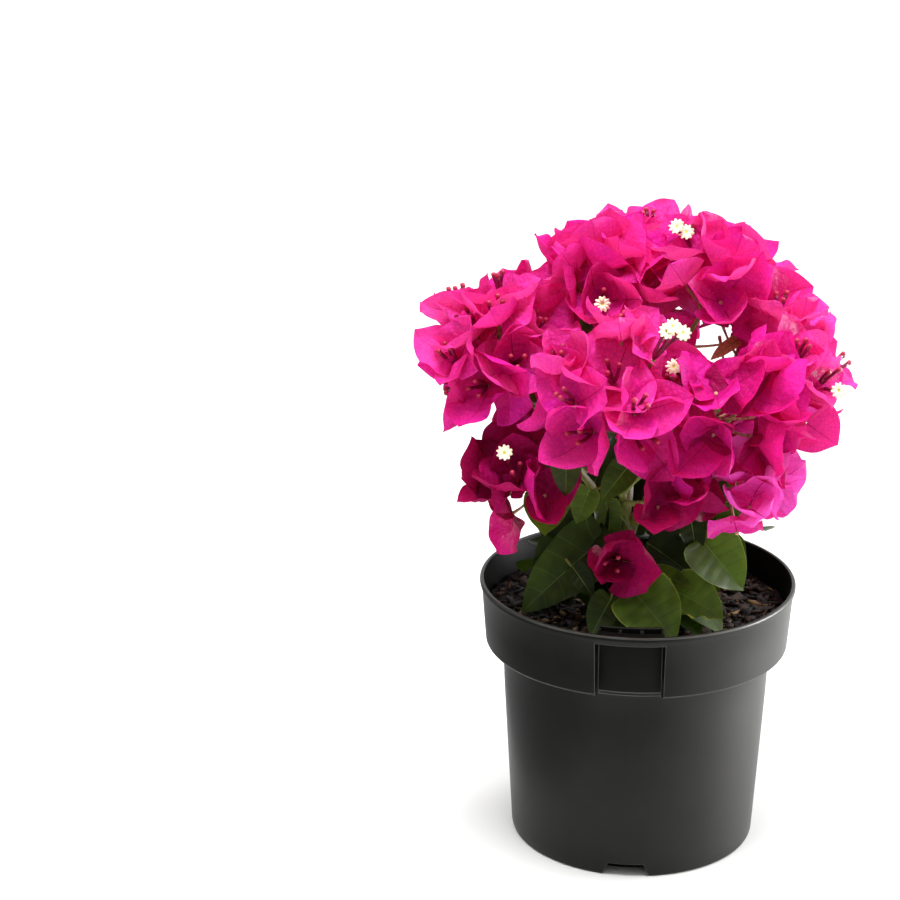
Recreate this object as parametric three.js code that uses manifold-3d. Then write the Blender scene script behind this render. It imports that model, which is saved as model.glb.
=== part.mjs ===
// A bougainvillea bush in its nursery pot. Lengths are in millimetres and +Z is up. The origin is the middle
// of the pot's flat underside, and the label recess faces -Y.
import * as THREE from 'three';
import Module from 'manifold-3d';
import { mergeVertices } from 'three/addons/utils/BufferGeometryUtils.js';

const wasm = await Module();
wasm.setup();

const UP = new THREE.Vector3(0, 0, 1);
const GOLDEN_TURN = Math.PI * (3 - Math.sqrt(5));
const FULL_TURN = 2 * Math.PI;
const THIRD_TURN = FULL_TURN / 3;
const degrees = (angle) => (angle * Math.PI) / 180;
const place = (x, y, z) => new THREE.Vector3(x, y, z);
const mix = (low, high, share) => low + (high - low) * share;
const drawn = (rand, [low, high]) => mix(low, high, rand());

// The gap between two pieces that meet
const CLEAR = 0.3;

// Pot
const POT_HEIGHT = 172;
const RIM_RADIUS = 100;
const BAND_HEIGHT = 42;
const BAND_FOOT_RADIUS = 96;
const WALL_TOP_RADIUS = 85.5;
const BASE_RADIUS = 78;
const POT_WALL = 2;
const FLOOR_THICKNESS = 2.5;
const LIP = 2.6;
const POT_SEGMENTS = 48;
const BAND_FOOT = POT_HEIGHT - BAND_HEIGHT;

// The label recess in the band, and the slotted label holder above it
const FRONT_TURN = degrees(-90 - 6.5);
const RECESS_HALF_ANGLE = degrees(12.5);
const RECESS_DEPTH = 7;
const RECESS_TOP = POT_HEIGHT - 6.5;
const HOLDER_RISE = 1.8;
const HOLDER_GAP = 3.6;
const HOLDER_CELLS = 3;

// The drainage notches at the foot of the wall
const NOTCHES = 3;
const NOTCH_HEIGHT = 8.5;
const NOTCH_FOOT = 30;
const NOTCH_HEAD = 22;
const NOTCH_DEPTH = 12;
const DRAIN_SLOT = 3;

// Potting mix
const MIX_TOP = POT_HEIGHT - 21;
const MIX_BUMP = 3;
const MIX_FLAT_RADIUS = 15;
const MIX_RINGS = 5;
const MIX_SPOKES = 24;

// Main stem
const STEM_FOOT = place(0, 0, MIX_TOP);
const STEM_HEEL = place(0, 0, MIX_TOP + 2);
const STEM_TOP = place(-9, -5, 206);
const STEM_FLARE_RADIUS = 11;
const STEM_RADIUS = 5;
const STEM_TIP_RADIUS = 4;

// Flower groups: three bracts round a twig's end, with the true flowers between them
const BRACT_LENGTH = 48;
const BRACT_SHAPE = 0.84;
const BRACT_THICKNESS = 0.9;
const BRACT_OPEN = [degrees(34), degrees(64)];
const BRACT_SWAY = [-0.25, 0.25];
const BRACT_BELLY = [0.3, 0.55];
const BRACT_CUP = [0.1, 0.45];
const BRACT_CURL = [-0.25, 0.2];
const BRACT_WAVE = [0.05, 0.22];
const TWIG_RADIUS = 1.1;
const TWIG_END_RADIUS = 2;
const ROOT_SUNK = 1.5;
const TUBE_LENGTH = 17;
const TUBE_RADIUS = 1.2;
const TUBE_SPREAD = [degrees(10), degrees(20)];
const STAR_RADIUS = 6;
const STAR_NOTCH = 0.55;
const STAR_POINTS = 10;
const HEAD_TILT = [degrees(61), degrees(83)];
const HEAD_OUT = 0.45;
const WHORL = degrees(20);
const HEART = place(-5, 0, 240);

// Leaves
const LEAF_LENGTH = 58;
const LEAF_SHAPE = 0.72;
const LEAF_THICKNESS = 1;
const LEAF_OPEN = [degrees(40), degrees(100)];
const LEAF_SWAY = [-0.6, 0.6];
const LEAF_DROOP = [0, 0.8];
const LEAF_CUP = [0.1, 0.4];
const LEAF_CURL = [0.02, 0.22];
const LEAF_WAVE = [0.02, 0.12];
const LEAF_PLACES = [0.3, 0.97];
const LEAF_RUN = 50;
const PETIOLE = 9;
const PETIOLE_SUNK = 4;
const LENGTHS = [0.87, 1.09];
const WIDTHS = [0.92, 1.08];

// How a sheet is placed: how often one is drawn, how small the last one is, and how near another it may come
const TRIES = 24;
const LEAST_SIZE = 0.54;
const SHEET_SPACING = 3;
const ROOT_FREE = 4;
const WHORL_FREE = 24;

// Each flower mass of the crown: the limb that its bough leaves and where along it, its middle, its reach,
// its flower groups and leaves, and how many of its first group's flowers are open
const flowerMass = (name, from, share, centre, radius, heads, leaves, open) => (
  { name, from, share, centre, radius, heads, leaves, open }
);
const MASSES = [
  flowerMass('top_back', 'main_stem', 1, [8, 58, 342], 58, 6, 1, 0),
  flowerMass('left', 'main_stem', 0.8, [-85, -24, 322], 58, 8, 1, 1),
  flowerMass('right', 'main_stem', 0.9, [72, -16, 306], 58, 7, 1, 1),
  flowerMass('middle_left', 'main_stem', 0.95, [-20, -66, 308], 58, 7, 1, 1),
  flowerMass('back_left', 'main_stem', 0.85, [-62, 54, 312], 58, 7, 1, 1),
  flowerMass('back_right', 'main_stem', 0.75, [66, 50, 304], 58, 7, 1, 0),
  flowerMass('top_left', 'top_back', 0.5, [-26, 2, 353], 58, 6, 1, 1),
  flowerMass('top_right', 'top_back', 0.65, [40, 0, 354], 58, 7, 0, 3),
  flowerMass('middle_right', 'middle_left', 0.42, [42, -62, 304], 58, 6, 1, 2),
  flowerMass('low_left', 'left', 0.34, [-70, -44, 248], 50, 4, 1, 1),
  flowerMass('low_middle', 'middle_left', 0.28, [2, -66, 248], 46, 2, 1, 0),
  flowerMass('low_right', 'right', 0.3, [56, -54, 244], 48, 4, 1, 0),
  flowerMass('low_front', 'main_stem', 0.6, [-18, -60, 208], 40, 1, 0, 0),
  flowerMass('back_middle', 'top_back', 0.35, [2, 76, 282], 54, 5, 2, 1),
  flowerMass('back_low_left', 'back_left', 0.36, [-48, 66, 238], 50, 4, 2, 0),
  flowerMass('back_low_right', 'back_right', 0.36, [46, 68, 236], 50, 4, 2, 0),
];

// The leafy masses low round the main stem, where there are no flowers
const leafMass = (name, share, centre, radius, leaves) => ({ name, share, centre, radius, leaves });
const LEAF_MASSES = [
  leafMass('leaves_left', 0.6, [-50, -26, 200], 54, 7),
  leafMass('leaves_front', 0.4, [16, -50, 190], 48, 6),
  leafMass('leaves_right', 0.7, [56, 0, 204], 50, 7),
  leafMass('leaves_back', 0.5, [-6, 46, 200], 54, 7),
];

// The sky shows through the crown along one straight way, which bracts and leaves keep off
const GAP_FRONT = place(34, -100, 354);
const GAP_BACK = place(56, 100, 294);
const GAP_RADIUS = 9;

// Each flower group, bract and leaf has a run of random numbers of its own, from the numbers that name it
const FIRST_SEED = 23;

function seeded(...keys) {
  let state = keys.reduce((sum, key) => sum * 61 + key + 1, FIRST_SEED);
  return () => {
    state = (state * 16807) % 2147483647;
    return state / 2147483647;
  };
}

// Solids from triangles, and back to geometries
function solid(positions, triangles) {
  return new wasm.Manifold(new wasm.Mesh({
    numProp: 3,
    vertProperties: Float32Array.from(positions),
    triVerts: Uint32Array.from(triangles),
  }));
}

function solidOf(geometry) {
  geometry.deleteAttribute('normal');
  geometry.deleteAttribute('uv');
  const merged = mergeVertices(geometry, 1e-4);
  const corners = merged.index.array;
  const triangles = [];
  for (let k = 0; k < corners.length; k += 3) {
    const [a, b, c] = corners.slice(k, k + 3);
    if (a !== b && b !== c && c !== a) triangles.push(a, b, c);
  }
  return solid(merged.attributes.position.array, triangles);
}

function geometryOf(shape) {
  const mesh = shape.getMesh();
  const geometry = new THREE.BufferGeometry();
  geometry.setAttribute('position', new THREE.BufferAttribute(mesh.vertProperties, 3));
  geometry.setIndex(new THREE.BufferAttribute(mesh.triVerts, 1));
  geometry.computeVertexNormals();
  return geometry;
}

// The largest body of a shape, without loose scraps, sealed hollows or edges too short to matter
const SHORTEST_EDGE = 0.02;

function largest(shape) {
  const bodies = shape.simplify(SHORTEST_EDGE).decompose();
  return bodies.reduce((best, body) => (body.volume() > best.volume() ? body : best));
}

function joined(shapes) {
  return largest(shapes.reduce((sum, shape) => sum.add(shape)));
}

// Round and curved forms of the pot
function revolved(profile) {
  const points = profile.map(([radius, height]) => new THREE.Vector2(radius, height));
  const geometry = new THREE.LatheGeometry(points, POT_SEGMENTS);
  geometry.rotateX(Math.PI / 2);
  return solidOf(geometry);
}

function sector(inner, outer, bottom, top, halfAngle, turn) {
  const shape = new THREE.Shape();
  shape.absarc(0, 0, outer, turn - halfAngle, turn + halfAngle, false);
  shape.absarc(0, 0, inner, turn + halfAngle, turn - halfAngle, true);
  const depth = top - bottom;
  const geometry = new THREE.ExtrudeGeometry(shape, { depth, bevelEnabled: false, curveSegments: 5 });
  geometry.translate(0, 0, bottom);
  return solidOf(geometry);
}

function notchBlock(grow, turn) {
  const foot = NOTCH_FOOT / 2 + grow;
  const head = NOTCH_HEAD / 2 + grow;
  const shape = new THREE.Shape();
  shape.moveTo(-foot, -1);
  shape.lineTo(foot, -1);
  shape.lineTo(head, NOTCH_HEIGHT + grow);
  shape.lineTo(-head, NOTCH_HEIGHT + grow);
  shape.closePath();
  const inner = BASE_RADIUS - NOTCH_DEPTH - grow;
  const geometry = new THREE.ExtrudeGeometry(shape, { depth: 2 * NOTCH_DEPTH, bevelEnabled: false });
  geometry.rotateX(Math.PI / 2);
  geometry.translate(0, -inner, 0);
  geometry.rotateZ(turn + Math.PI / 2);
  return solidOf(geometry);
}

function drainSlot(side, turn) {
  const length = NOTCH_HEAD / 2 - DRAIN_SLOT;
  const geometry = new THREE.BoxGeometry(length, DRAIN_SLOT, 4 * FLOOR_THICKNESS);
  const middle = BASE_RADIUS - NOTCH_DEPTH / 2 - POT_WALL;
  geometry.translate(side * (length / 2 + DRAIN_SLOT / 2), -middle, NOTCH_HEIGHT);
  geometry.rotateZ(turn + Math.PI / 2);
  return solidOf(geometry);
}

const notchTurns = Array.from({ length: NOTCHES }, (_, k) => FRONT_TURN + k * THIRD_TURN);

// The room inside the pot, with its walls moved in by a clearance
function potCavity(clearance, top) {
  const wall = POT_WALL + clearance;
  const floor = FLOOR_THICKNESS + clearance;
  let room = revolved([
    [0, floor],
    [BASE_RADIUS - wall - 1, floor],
    [WALL_TOP_RADIUS - wall, BAND_FOOT],
    [WALL_TOP_RADIUS - wall + 1, BAND_FOOT + POT_WALL + clearance],
    [BAND_FOOT_RADIUS - wall - 1, BAND_FOOT + POT_WALL + 1 + clearance],
    [BAND_FOOT_RADIUS - wall, BAND_FOOT + POT_WALL + 2.5 + clearance],
    [RIM_RADIUS - LIP - clearance, top],
    [0, top],
  ]);
  const recessInner = RIM_RADIUS - RECESS_DEPTH - wall - 4;
  const recessHalf = RECESS_HALF_ANGLE + wall / RIM_RADIUS;
  const recessFoot = BAND_FOOT - 12;
  room = room.subtract(sector(recessInner, RIM_RADIUS + 5, recessFoot, top + 1, recessHalf, FRONT_TURN));
  notchTurns.forEach((turn) => {
    room = room.subtract(notchBlock(wall, turn));
  });
  return room;
}

function makePot() {
  let pot = revolved([
    [0, 0],
    [BASE_RADIUS - 1.8, 0],
    [BASE_RADIUS - 0.4, 0.6],
    [BASE_RADIUS + 0.2, 2.4],
    [WALL_TOP_RADIUS, BAND_FOOT - 3],
    [WALL_TOP_RADIUS + 1.5, BAND_FOOT - 1],
    [BAND_FOOT_RADIUS - 1, BAND_FOOT],
    [BAND_FOOT_RADIUS, BAND_FOOT + 1.2],
    [RIM_RADIUS - 1.4, POT_HEIGHT - 5],
    [RIM_RADIUS, POT_HEIGHT - 2.6],
    [RIM_RADIUS, POT_HEIGHT - 0.8],
    [RIM_RADIUS - 1, POT_HEIGHT],
    [0, POT_HEIGHT],
  ]);
  const panel = BAND_FOOT_RADIUS - RECESS_DEPTH;
  pot = pot.subtract(sector(panel, RIM_RADIUS + 5, BAND_FOOT - 5, RECESS_TOP, RECESS_HALF_ANGLE, FRONT_TURN));
  notchTurns.forEach((turn) => {
    pot = pot.subtract(notchBlock(0, turn));
  });
  pot = pot.subtract(potCavity(0, POT_HEIGHT + 1));
  const holderBack = sector(
    panel - POT_WALL, panel, RECESS_TOP, POT_HEIGHT + HOLDER_RISE, RECESS_HALF_ANGLE, FRONT_TURN,
  );
  pot = pot.add(holderBack);
  const cell = (2 * RECESS_HALF_ANGLE) / HOLDER_CELLS;
  const rib = 1 / RIM_RADIUS;
  for (let k = 0; k < HOLDER_CELLS; k += 1) {
    const turn = FRONT_TURN + (k - (HOLDER_CELLS - 1) / 2) * cell;
    const slot = sector(panel, panel + HOLDER_GAP, RECESS_TOP + 2, POT_HEIGHT + 5, cell / 2 - rib, turn);
    pot = pot.subtract(slot);
  }
  notchTurns.forEach((turn) => {
    pot = pot.subtract(drainSlot(-1, turn));
    pot = pot.subtract(drainSlot(1, turn));
  });
  return largest(pot);
}

// The potting mix fills the pot, with a lumpy top that is level round the stem
function makePottingMix() {
  const rand = seeded(5);
  const positions = [0, 0, MIX_TOP - CLEAR];
  const triangles = [];
  for (let ring = 1; ring <= MIX_RINGS; ring += 1) {
    const radius = mix(MIX_FLAT_RADIUS, RIM_RADIUS, (ring - 1) / (MIX_RINGS - 1));
    for (let k = 0; k < MIX_SPOKES; k += 1) {
      const turn = ((k + (ring % 2) / 2) * 2 * Math.PI) / MIX_SPOKES;
      const bump = ring === 1 ? -CLEAR : (rand() - 0.5) * MIX_BUMP;
      positions.push(radius * Math.cos(turn), radius * Math.sin(turn), MIX_TOP + bump);
    }
  }
  const corner = (ring, k) => 1 + (ring - 1) * MIX_SPOKES + (k % MIX_SPOKES);
  const foot = positions.length / 3;
  const underside = [];
  for (let k = 0; k < MIX_SPOKES; k += 1) {
    const outer = corner(MIX_RINGS, k) * 3;
    underside.push(positions[outer], positions[outer + 1], -1);
    triangles.push(0, corner(1, k), corner(1, k + 1));
  }
  positions.push(...underside, 0, 0, -1);
  const middle = foot + MIX_SPOKES;
  for (let ring = 1; ring < MIX_RINGS; ring += 1) {
    const lag = ring % 2;
    for (let k = 0; k < MIX_SPOKES; k += 1) {
      const inner = [corner(ring, k), corner(ring, k + 1)];
      const outer = [corner(ring + 1, k + lag), corner(ring + 1, k + 1)];
      const last = lag ? inner[0] : outer[0];
      triangles.push(...(lag ? [corner(ring + 1, k), outer[0], last] : [inner[0], last, outer[1]]));
      triangles.push(...(lag ? [inner[0], outer[0], inner[1]] : [inner[0], outer[1], inner[1]]));
    }
  }
  for (let k = 0; k < MIX_SPOKES; k += 1) {
    const next = foot + ((k + 1) % MIX_SPOKES);
    triangles.push(corner(MIX_RINGS, k), foot + k, next);
    triangles.push(corner(MIX_RINGS, k), next, corner(MIX_RINGS, k + 1));
    triangles.push(middle, next, foot + k);
  }
  return largest(solid(positions, triangles).intersect(potCavity(CLEAR, POT_HEIGHT + 1)));
}

// Directions round an axis
function across(axis) {
  const side = UP.clone().cross(axis);
  return side.length() > 0.01 ? side.normalize() : place(1, 0, 0);
}

function tilted(axis, tilt, turn) {
  const side = across(axis);
  const front = axis.clone().cross(side);
  return axis.clone().multiplyScalar(Math.cos(tilt))
    .addScaledVector(side, Math.sin(tilt) * Math.cos(turn))
    .addScaledVector(front, Math.sin(tilt) * Math.sin(turn));
}

function between(from, to) {
  return to.clone().sub(from).normalize();
}

// A tapering limb: rings of corners along its points
function limbSolid(points, radii, sides) {
  const positions = [];
  const triangles = [];
  const last = points.length - 1;
  const side = across(between(points[0], points[1]));
  points.forEach((point, ring) => {
    const along = between(points[Math.max(ring - 1, 0)], points[Math.min(ring + 1, last)]);
    side.addScaledVector(along, -side.dot(along)).normalize();
    const front = along.clone().cross(side);
    for (let k = 0; k < sides; k += 1) {
      const turn = (k * 2 * Math.PI) / sides;
      const corner = point.clone()
        .addScaledVector(side, radii[ring] * Math.cos(turn))
        .addScaledVector(front, radii[ring] * Math.sin(turn));
      positions.push(corner.x, corner.y, corner.z);
      if (ring < last) {
        const [a, b] = [ring * sides + k, ring * sides + ((k + 1) % sides)];
        triangles.push(a, b, b + sides, a, b + sides, a + sides);
      }
    }
  });
  for (let k = 1; k < sides - 1; k += 1) {
    triangles.push(0, k + 1, k);
    triangles.push(last * sides, last * sides + k, last * sides + k + 1);
  }
  return solid(positions, triangles);
}

// Main stem: a line from its flat foot to its fork, with the root flare in the first eighth
const STEM_RINGS = 9;
const stemCurve = new THREE.CubicBezierCurve3(
  STEM_HEEL,
  STEM_HEEL.clone().add(place(0, 0, 16)),
  STEM_TOP.clone().add(place(-1, -1, -20)),
  STEM_TOP,
);

function stemRadius(share) {
  const flare = (STEM_FLARE_RADIUS - STEM_RADIUS) * (1 - share) ** 9;
  return mix(STEM_RADIUS, STEM_TIP_RADIUS, share) + flare;
}

function limbShape(curve, radiusAt, rings) {
  const points = [];
  const radii = [];
  for (let k = 0; k <= rings; k += 1) {
    points.push(curve.getPoint(k / rings));
    radii.push(radiusAt(k / rings));
  }
  return { points, radii };
}

// The boughs: each leaves the main stem or another bough and ends where it enters its mass
const limbs = new Map();
const stemLine = limbShape(stemCurve, stemRadius, STEM_RINGS);
limbs.set('main_stem', {
  curve: stemCurve,
  radiusAt: stemRadius,
  points: [STEM_FOOT, ...stemLine.points],
  radii: [STEM_FLARE_RADIUS + 1, ...stemLine.radii],
});
const BOUGH_RINGS = 5;
const BOUGH_SIDES = 5;
const BOUGH_RADIUS = 3.1;
const BRANCH_RADIUS = 2.1;
const BOUGH_TIP_RADIUS = 1.5;
const FORK_TAPER = 0.85;
const BOUGH_END = 0.6;
const BOUGH_SAG = 0.04;

function addBough(mass) {
  const parent = limbs.get(mass.from);
  const start = parent.curve.getPoint(mass.share);
  const centre = place(...mass.centre);
  const end = centre.clone().addScaledVector(between(centre, start), BOUGH_END * mass.radius);
  const reach = start.distanceTo(end);
  const setOff = parent.curve.getTangent(mass.share).add(between(start, end)).normalize();
  const curve = new THREE.CubicBezierCurve3(
    start,
    start.clone().addScaledVector(setOff, reach / 3),
    end.clone().addScaledVector(between(centre, start), reach / 3).addScaledVector(UP, -reach * BOUGH_SAG),
    end,
  );
  const thick = mass.from === 'main_stem' ? BOUGH_RADIUS : BRANCH_RADIUS;
  const foot = Math.min(thick, parent.radiusAt(mass.share) * FORK_TAPER);
  const radiusAt = (share) => mix(foot, BOUGH_TIP_RADIUS, share);
  limbs.set(mass.name, { curve, radiusAt, ...limbShape(curve, radiusAt, BOUGH_RINGS) });
}

MASSES.forEach(addBough);

// How far a place is from a limb's surface
function gapToLimb(spot, limb) {
  let gap = Infinity;
  const foot = place(0, 0, 0);
  for (let k = 1; k < limb.points.length; k += 1) {
    new THREE.Line3(limb.points[k - 1], limb.points[k]).closestPointToPoint(spot, true, foot);
    gap = Math.min(gap, foot.distanceTo(spot) - limb.radii[k - 1]);
  }
  return gap;
}

// A mass keeps to its own space: nearer to its middle than to any other's, by the power of the spheres
const SHEET_GAP = 2.6;
const TWIG_GAP = 1.4;
const OVER_REACH = 5;
const allMasses = [...MASSES, ...LEAF_MASSES];
allMasses.forEach((mass) => {
  mass.middle = place(...mass.centre);
});

function inOwnSpace(mass, spot) {
  const own = spot.distanceToSquared(mass.middle) - mass.radius ** 2;
  if (spot.distanceTo(mass.middle) > mass.radius + OVER_REACH) return false;
  return allMasses.every((other) => {
    if (other === mass) return true;
    const power = spot.distanceToSquared(other.middle) - other.radius ** 2;
    return (power - own) / (2 * other.middle.distanceTo(mass.middle)) > CLEAR;
  });
}

function clearOfPot(spot) {
  const radius = Math.hypot(spot.x, spot.y);
  if (spot.z > POT_HEIGHT + HOLDER_RISE + 1) return true;
  return radius < BAND_FOOT_RADIUS - RECESS_DEPTH - 2 * POT_WALL && spot.z > MIX_TOP + MIX_BUMP;
}

const gapLine = new THREE.Line3(GAP_FRONT, GAP_BACK);

function clearOfGap(spot) {
  return gapLine.closestPointToPoint(spot, true, place(0, 0, 0)).distanceTo(spot) > GAP_RADIUS;
}

function fits(mass, spots, gap) {
  return spots.every((spot) => inOwnSpace(mass, spot) && clearOfPot(spot)
    && [...limbs.values()].every((limb) => gapToLimb(spot, limb) > gap));
}

// A bract or leaf is a curved sheet: along runs from root to tip, side from edge to edge
const NARROWING = 0.8;
const WIDEST_AT = NARROWING / (1 + NARROWING);
const WIDEST = WIDEST_AT ** NARROWING * (1 - WIDEST_AT);

function sheetPoint(sheet, along, side) {
  const half = (sheet.width / 2) * along ** NARROWING * (1 - along) / WIDEST;
  const lobe = side * side * along * (1 - along) ** 3;
  const ruffle = sheet.wave * half * Math.abs(side) ** 3 * Math.sin(9 * along + sheet.phase + 2 * side);
  const bow = sheet.belly * along * (1 - along) + sheet.curl * along * along;
  const rise = sheet.cup * half * side * side - sheet.length * bow + ruffle;
  return sheet.root.clone()
    .addScaledVector(sheet.aim, sheet.length * (along - lobe))
    .addScaledVector(sheet.side, half * side)
    .addScaledVector(sheet.face, rise);
}

function sheetSpots(sheet) {
  const spots = [];
  for (let row = 1; row <= 8; row += 1) {
    for (let column = -4; column <= 4; column += 1) {
      spots.push(sheetPoint(sheet, row / 8, column / 4));
    }
  }
  return spots;
}

// Its solid is a fan on each side, from the thick middle to the outline
const OUTLINE = [[0, 0], [0.2, 1], [0.6, 1], [1, 0], [0.6, -1], [0.2, -1]];
const SHEET_MIDDLE = 0.4;

function sheetSolid(sheet) {
  const middle = sheetPoint(sheet, SHEET_MIDDLE, 0);
  const thick = sheet.face.clone().multiplyScalar(sheet.thickness / 2);
  const points = OUTLINE.map(([along, side]) => sheetPoint(sheet, along, side));
  const over = points.push(middle.clone().add(thick)) - 1;
  const under = points.push(middle.clone().sub(thick)) - 1;
  const faces = OUTLINE.flatMap((corner, k) => {
    const next = (k + 1) % OUTLINE.length;
    return [k, next, over, next, k, under];
  });
  return solid(points.flatMap((point) => point.toArray()), faces);
}

// Two sheets may be close only where both leave the same twig's end
function crowds(spot, other) {
  if (spot.place.distanceTo(other.place) > SHEET_SPACING) return false;
  return spot.sheet.root !== other.sheet.root || spot.reach > WHORL_FREE;
}

// Draws new sheets, each a little smaller, until one keeps to the mass's space and off the sheets before it
function placeSheet(mass, placed, drawSheet) {
  for (let turn = 0; turn < TRIES; turn += 1) {
    const sheet = drawSheet(mix(1, LEAST_SIZE, turn / (TRIES - 1)));
    const spots = sheetSpots(sheet);
    const free = spots.map((spot) => ({ place: spot, reach: spot.distanceTo(sheet.root), sheet }))
      .filter((spot) => spot.reach > ROOT_FREE);
    const crowded = placed.some((other) => free.some((spot) => crowds(spot, other)));
    if (!crowded && spots.every(clearOfGap) && fits(mass, spots, SHEET_GAP)) {
      placed.push(...free);
      return sheet;
    }
  }
  return null;
}

function drawBract(head, rand, turn, size) {
  const open = drawn(rand, BRACT_OPEN);
  const out = tilted(head.axis, Math.PI / 2, turn + drawn(rand, BRACT_SWAY));
  const aim = head.axis.clone().multiplyScalar(Math.cos(open)).addScaledVector(out, Math.sin(open));
  const face = head.axis.clone().multiplyScalar(Math.sin(open)).addScaledVector(out, -Math.cos(open));
  const side = aim.clone().cross(face);
  const length = BRACT_LENGTH * size * drawn(rand, LENGTHS);
  return {
    root: head.root,
    aim,
    face: face.clone().multiplyScalar(Math.cos(WHORL)).addScaledVector(side, Math.sin(WHORL)),
    side: side.multiplyScalar(Math.cos(WHORL)).addScaledVector(face, -Math.sin(WHORL)),
    length,
    width: length * BRACT_SHAPE * drawn(rand, WIDTHS),
    thickness: BRACT_THICKNESS,
    belly: drawn(rand, BRACT_BELLY),
    cup: drawn(rand, BRACT_CUP),
    curl: drawn(rand, BRACT_CURL),
    wave: drawn(rand, BRACT_WAVE),
    phase: FULL_TURN * rand(),
  };
}

function drawLeaf(leave, out, rand, size) {
  const aim = out.clone().addScaledVector(UP, -drawn(rand, LEAF_DROOP)).normalize();
  const side = aim.clone().cross(UP).normalize();
  const length = LEAF_LENGTH * size * drawn(rand, LENGTHS);
  return {
    root: leave.clone().addScaledVector(out, PETIOLE),
    aim,
    side,
    face: side.clone().cross(aim),
    length,
    width: length * LEAF_SHAPE * drawn(rand, WIDTHS),
    thickness: LEAF_THICKNESS,
    belly: 0,
    cup: drawn(rand, LEAF_CUP),
    curl: drawn(rand, LEAF_CURL),
    wave: drawn(rand, LEAF_WAVE),
    phase: FULL_TURN * rand(),
  };
}

// An open flower is a ten-pointed star on its tube
function starSolid(spot, axis) {
  const points = [spot.clone().addScaledVector(axis, 0.6), spot.clone().addScaledVector(axis, -0.9)];
  const faces = [];
  for (let k = 0; k < STAR_POINTS; k += 1) {
    const radius = k % 2 ? STAR_RADIUS * STAR_NOTCH : STAR_RADIUS;
    const ray = tilted(axis, Math.PI / 2, (k * FULL_TURN) / STAR_POINTS);
    points.push(spot.clone().addScaledVector(ray, radius));
    const [here, next] = [k + 2, ((k + 1) % STAR_POINTS) + 2];
    faces.push([0, here, next], [1, next, here]);
  }
  return solid(points.flatMap((point) => point.toArray()), faces.flat());
}

function flowerTubes(mass, head, rand, open) {
  const shapes = [];
  for (let k = 0; k < open; k += 1) {
    const aim = tilted(head.axis, drawn(rand, TUBE_SPREAD), head.turn + k * THIRD_TURN);
    const tip = head.foot.clone().addScaledVector(aim, TUBE_LENGTH * drawn(rand, LENGTHS));
    if (!fits(mass, [tip], SHEET_GAP)) continue;
    shapes.push(limbSolid([head.foot, tip], [TUBE_RADIUS * 0.6, TUBE_RADIUS], 3));
    shapes.push(starSolid(tip, aim));
  }
  return shapes;
}

function twigSpots(from, to) {
  return [0.35, 0.6, 0.8, 1].map((share) => from.clone().lerp(to, share));
}

// Flower groups point out from the heart of the bush: the first along the mass's own outward line and the
// rest in a ring round it
function growHeads(mass, number, stem, placed) {
  const shapes = [];
  const outward = between(HEART, mass.middle);
  const turn = FULL_TURN * seeded(number)();
  for (let k = 0; k < mass.heads; k += 1) {
    const rand = seeded(number, k);
    const tilt = k === 0 ? 0 : drawn(rand, HEAD_TILT);
    const aim = tilted(outward, tilt, turn + (FULL_TURN * k) / Math.max(mass.heads - 1, 1));
    const foot = mass.middle.clone().addScaledVector(aim, mass.heads > 1 ? mass.radius * HEAD_OUT : 0);
    const sway = place(rand() - 0.5, rand() - 0.5, rand() - 0.5);
    const axis = aim.clone().addScaledVector(UP, 0.25).addScaledVector(sway, 0.4).normalize();
    const leave = stem.start.clone().lerp(stem.end, 1 - (0.5 * k) / mass.heads);
    const root = foot.clone().addScaledVector(between(leave, foot), -ROOT_SUNK);
    const head = { foot, root, axis, turn: FULL_TURN * rand() };
    const bracts = [0, 1, 2].map((n) => {
      const bractRand = seeded(number, k, n);
      const round = head.turn + (n + 0.5) * THIRD_TURN;
      return placeSheet(mass, placed, (size) => drawBract(head, bractRand, round, size));
    }).filter(Boolean);
    const tubes = flowerTubes(mass, head, rand, k === 0 ? mass.open : 0);
    if (bracts.length === 0 || !fits(mass, twigSpots(leave, foot), TWIG_GAP)) continue;
    shapes.push(limbSolid([leave, foot], [TWIG_RADIUS, TWIG_END_RADIUS], 3));
    shapes.push(...bracts.map(sheetSolid), ...tubes);
  }
  return shapes;
}

function growLeaves(mass, number, stem, placed) {
  const shapes = [];
  const stemAim = between(stem.start, stem.end);
  const turn = FULL_TURN * seeded(number, LEAF_RUN)();
  for (let k = 0; k < mass.leaves; k += 1) {
    const rand = seeded(number, LEAF_RUN, k);
    const leave = stem.start.clone().lerp(stem.end, mix(...LEAF_PLACES, (k + 0.5) / mass.leaves));
    const sheet = placeSheet(mass, placed, (size) => {
      const round = turn + k * GOLDEN_TURN + drawn(rand, LEAF_SWAY);
      return drawLeaf(leave, tilted(stemAim, drawn(rand, LEAF_OPEN), round), rand, size);
    });
    if (!sheet || !fits(mass, twigSpots(leave, sheet.root), TWIG_GAP)) continue;
    const sunk = sheet.root.clone().addScaledVector(sheet.aim, PETIOLE_SUNK);
    shapes.push(limbSolid([leave, sunk], [1, 0.8], 3), sheetSolid(sheet));
  }
  return shapes;
}

function growMass(mass, number, stem) {
  const placed = [];
  const stemSolid = limbSolid([stem.start, stem.end], [BOUGH_TIP_RADIUS, 1.1], 4);
  const heads = mass.heads ? growHeads(mass, number, stem, placed) : [];
  return joined([stemSolid, ...heads, ...growLeaves(mass, number, stem, placed)]);
}

// A flower mass's stem carries on from its bough's tip
function stemFromBough(mass) {
  const tip = limbs.get(mass.name).points.at(-1);
  const aim = between(tip, mass.middle);
  return { start: tip.clone().addScaledVector(aim, CLEAR), end: mass.middle };
}

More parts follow.
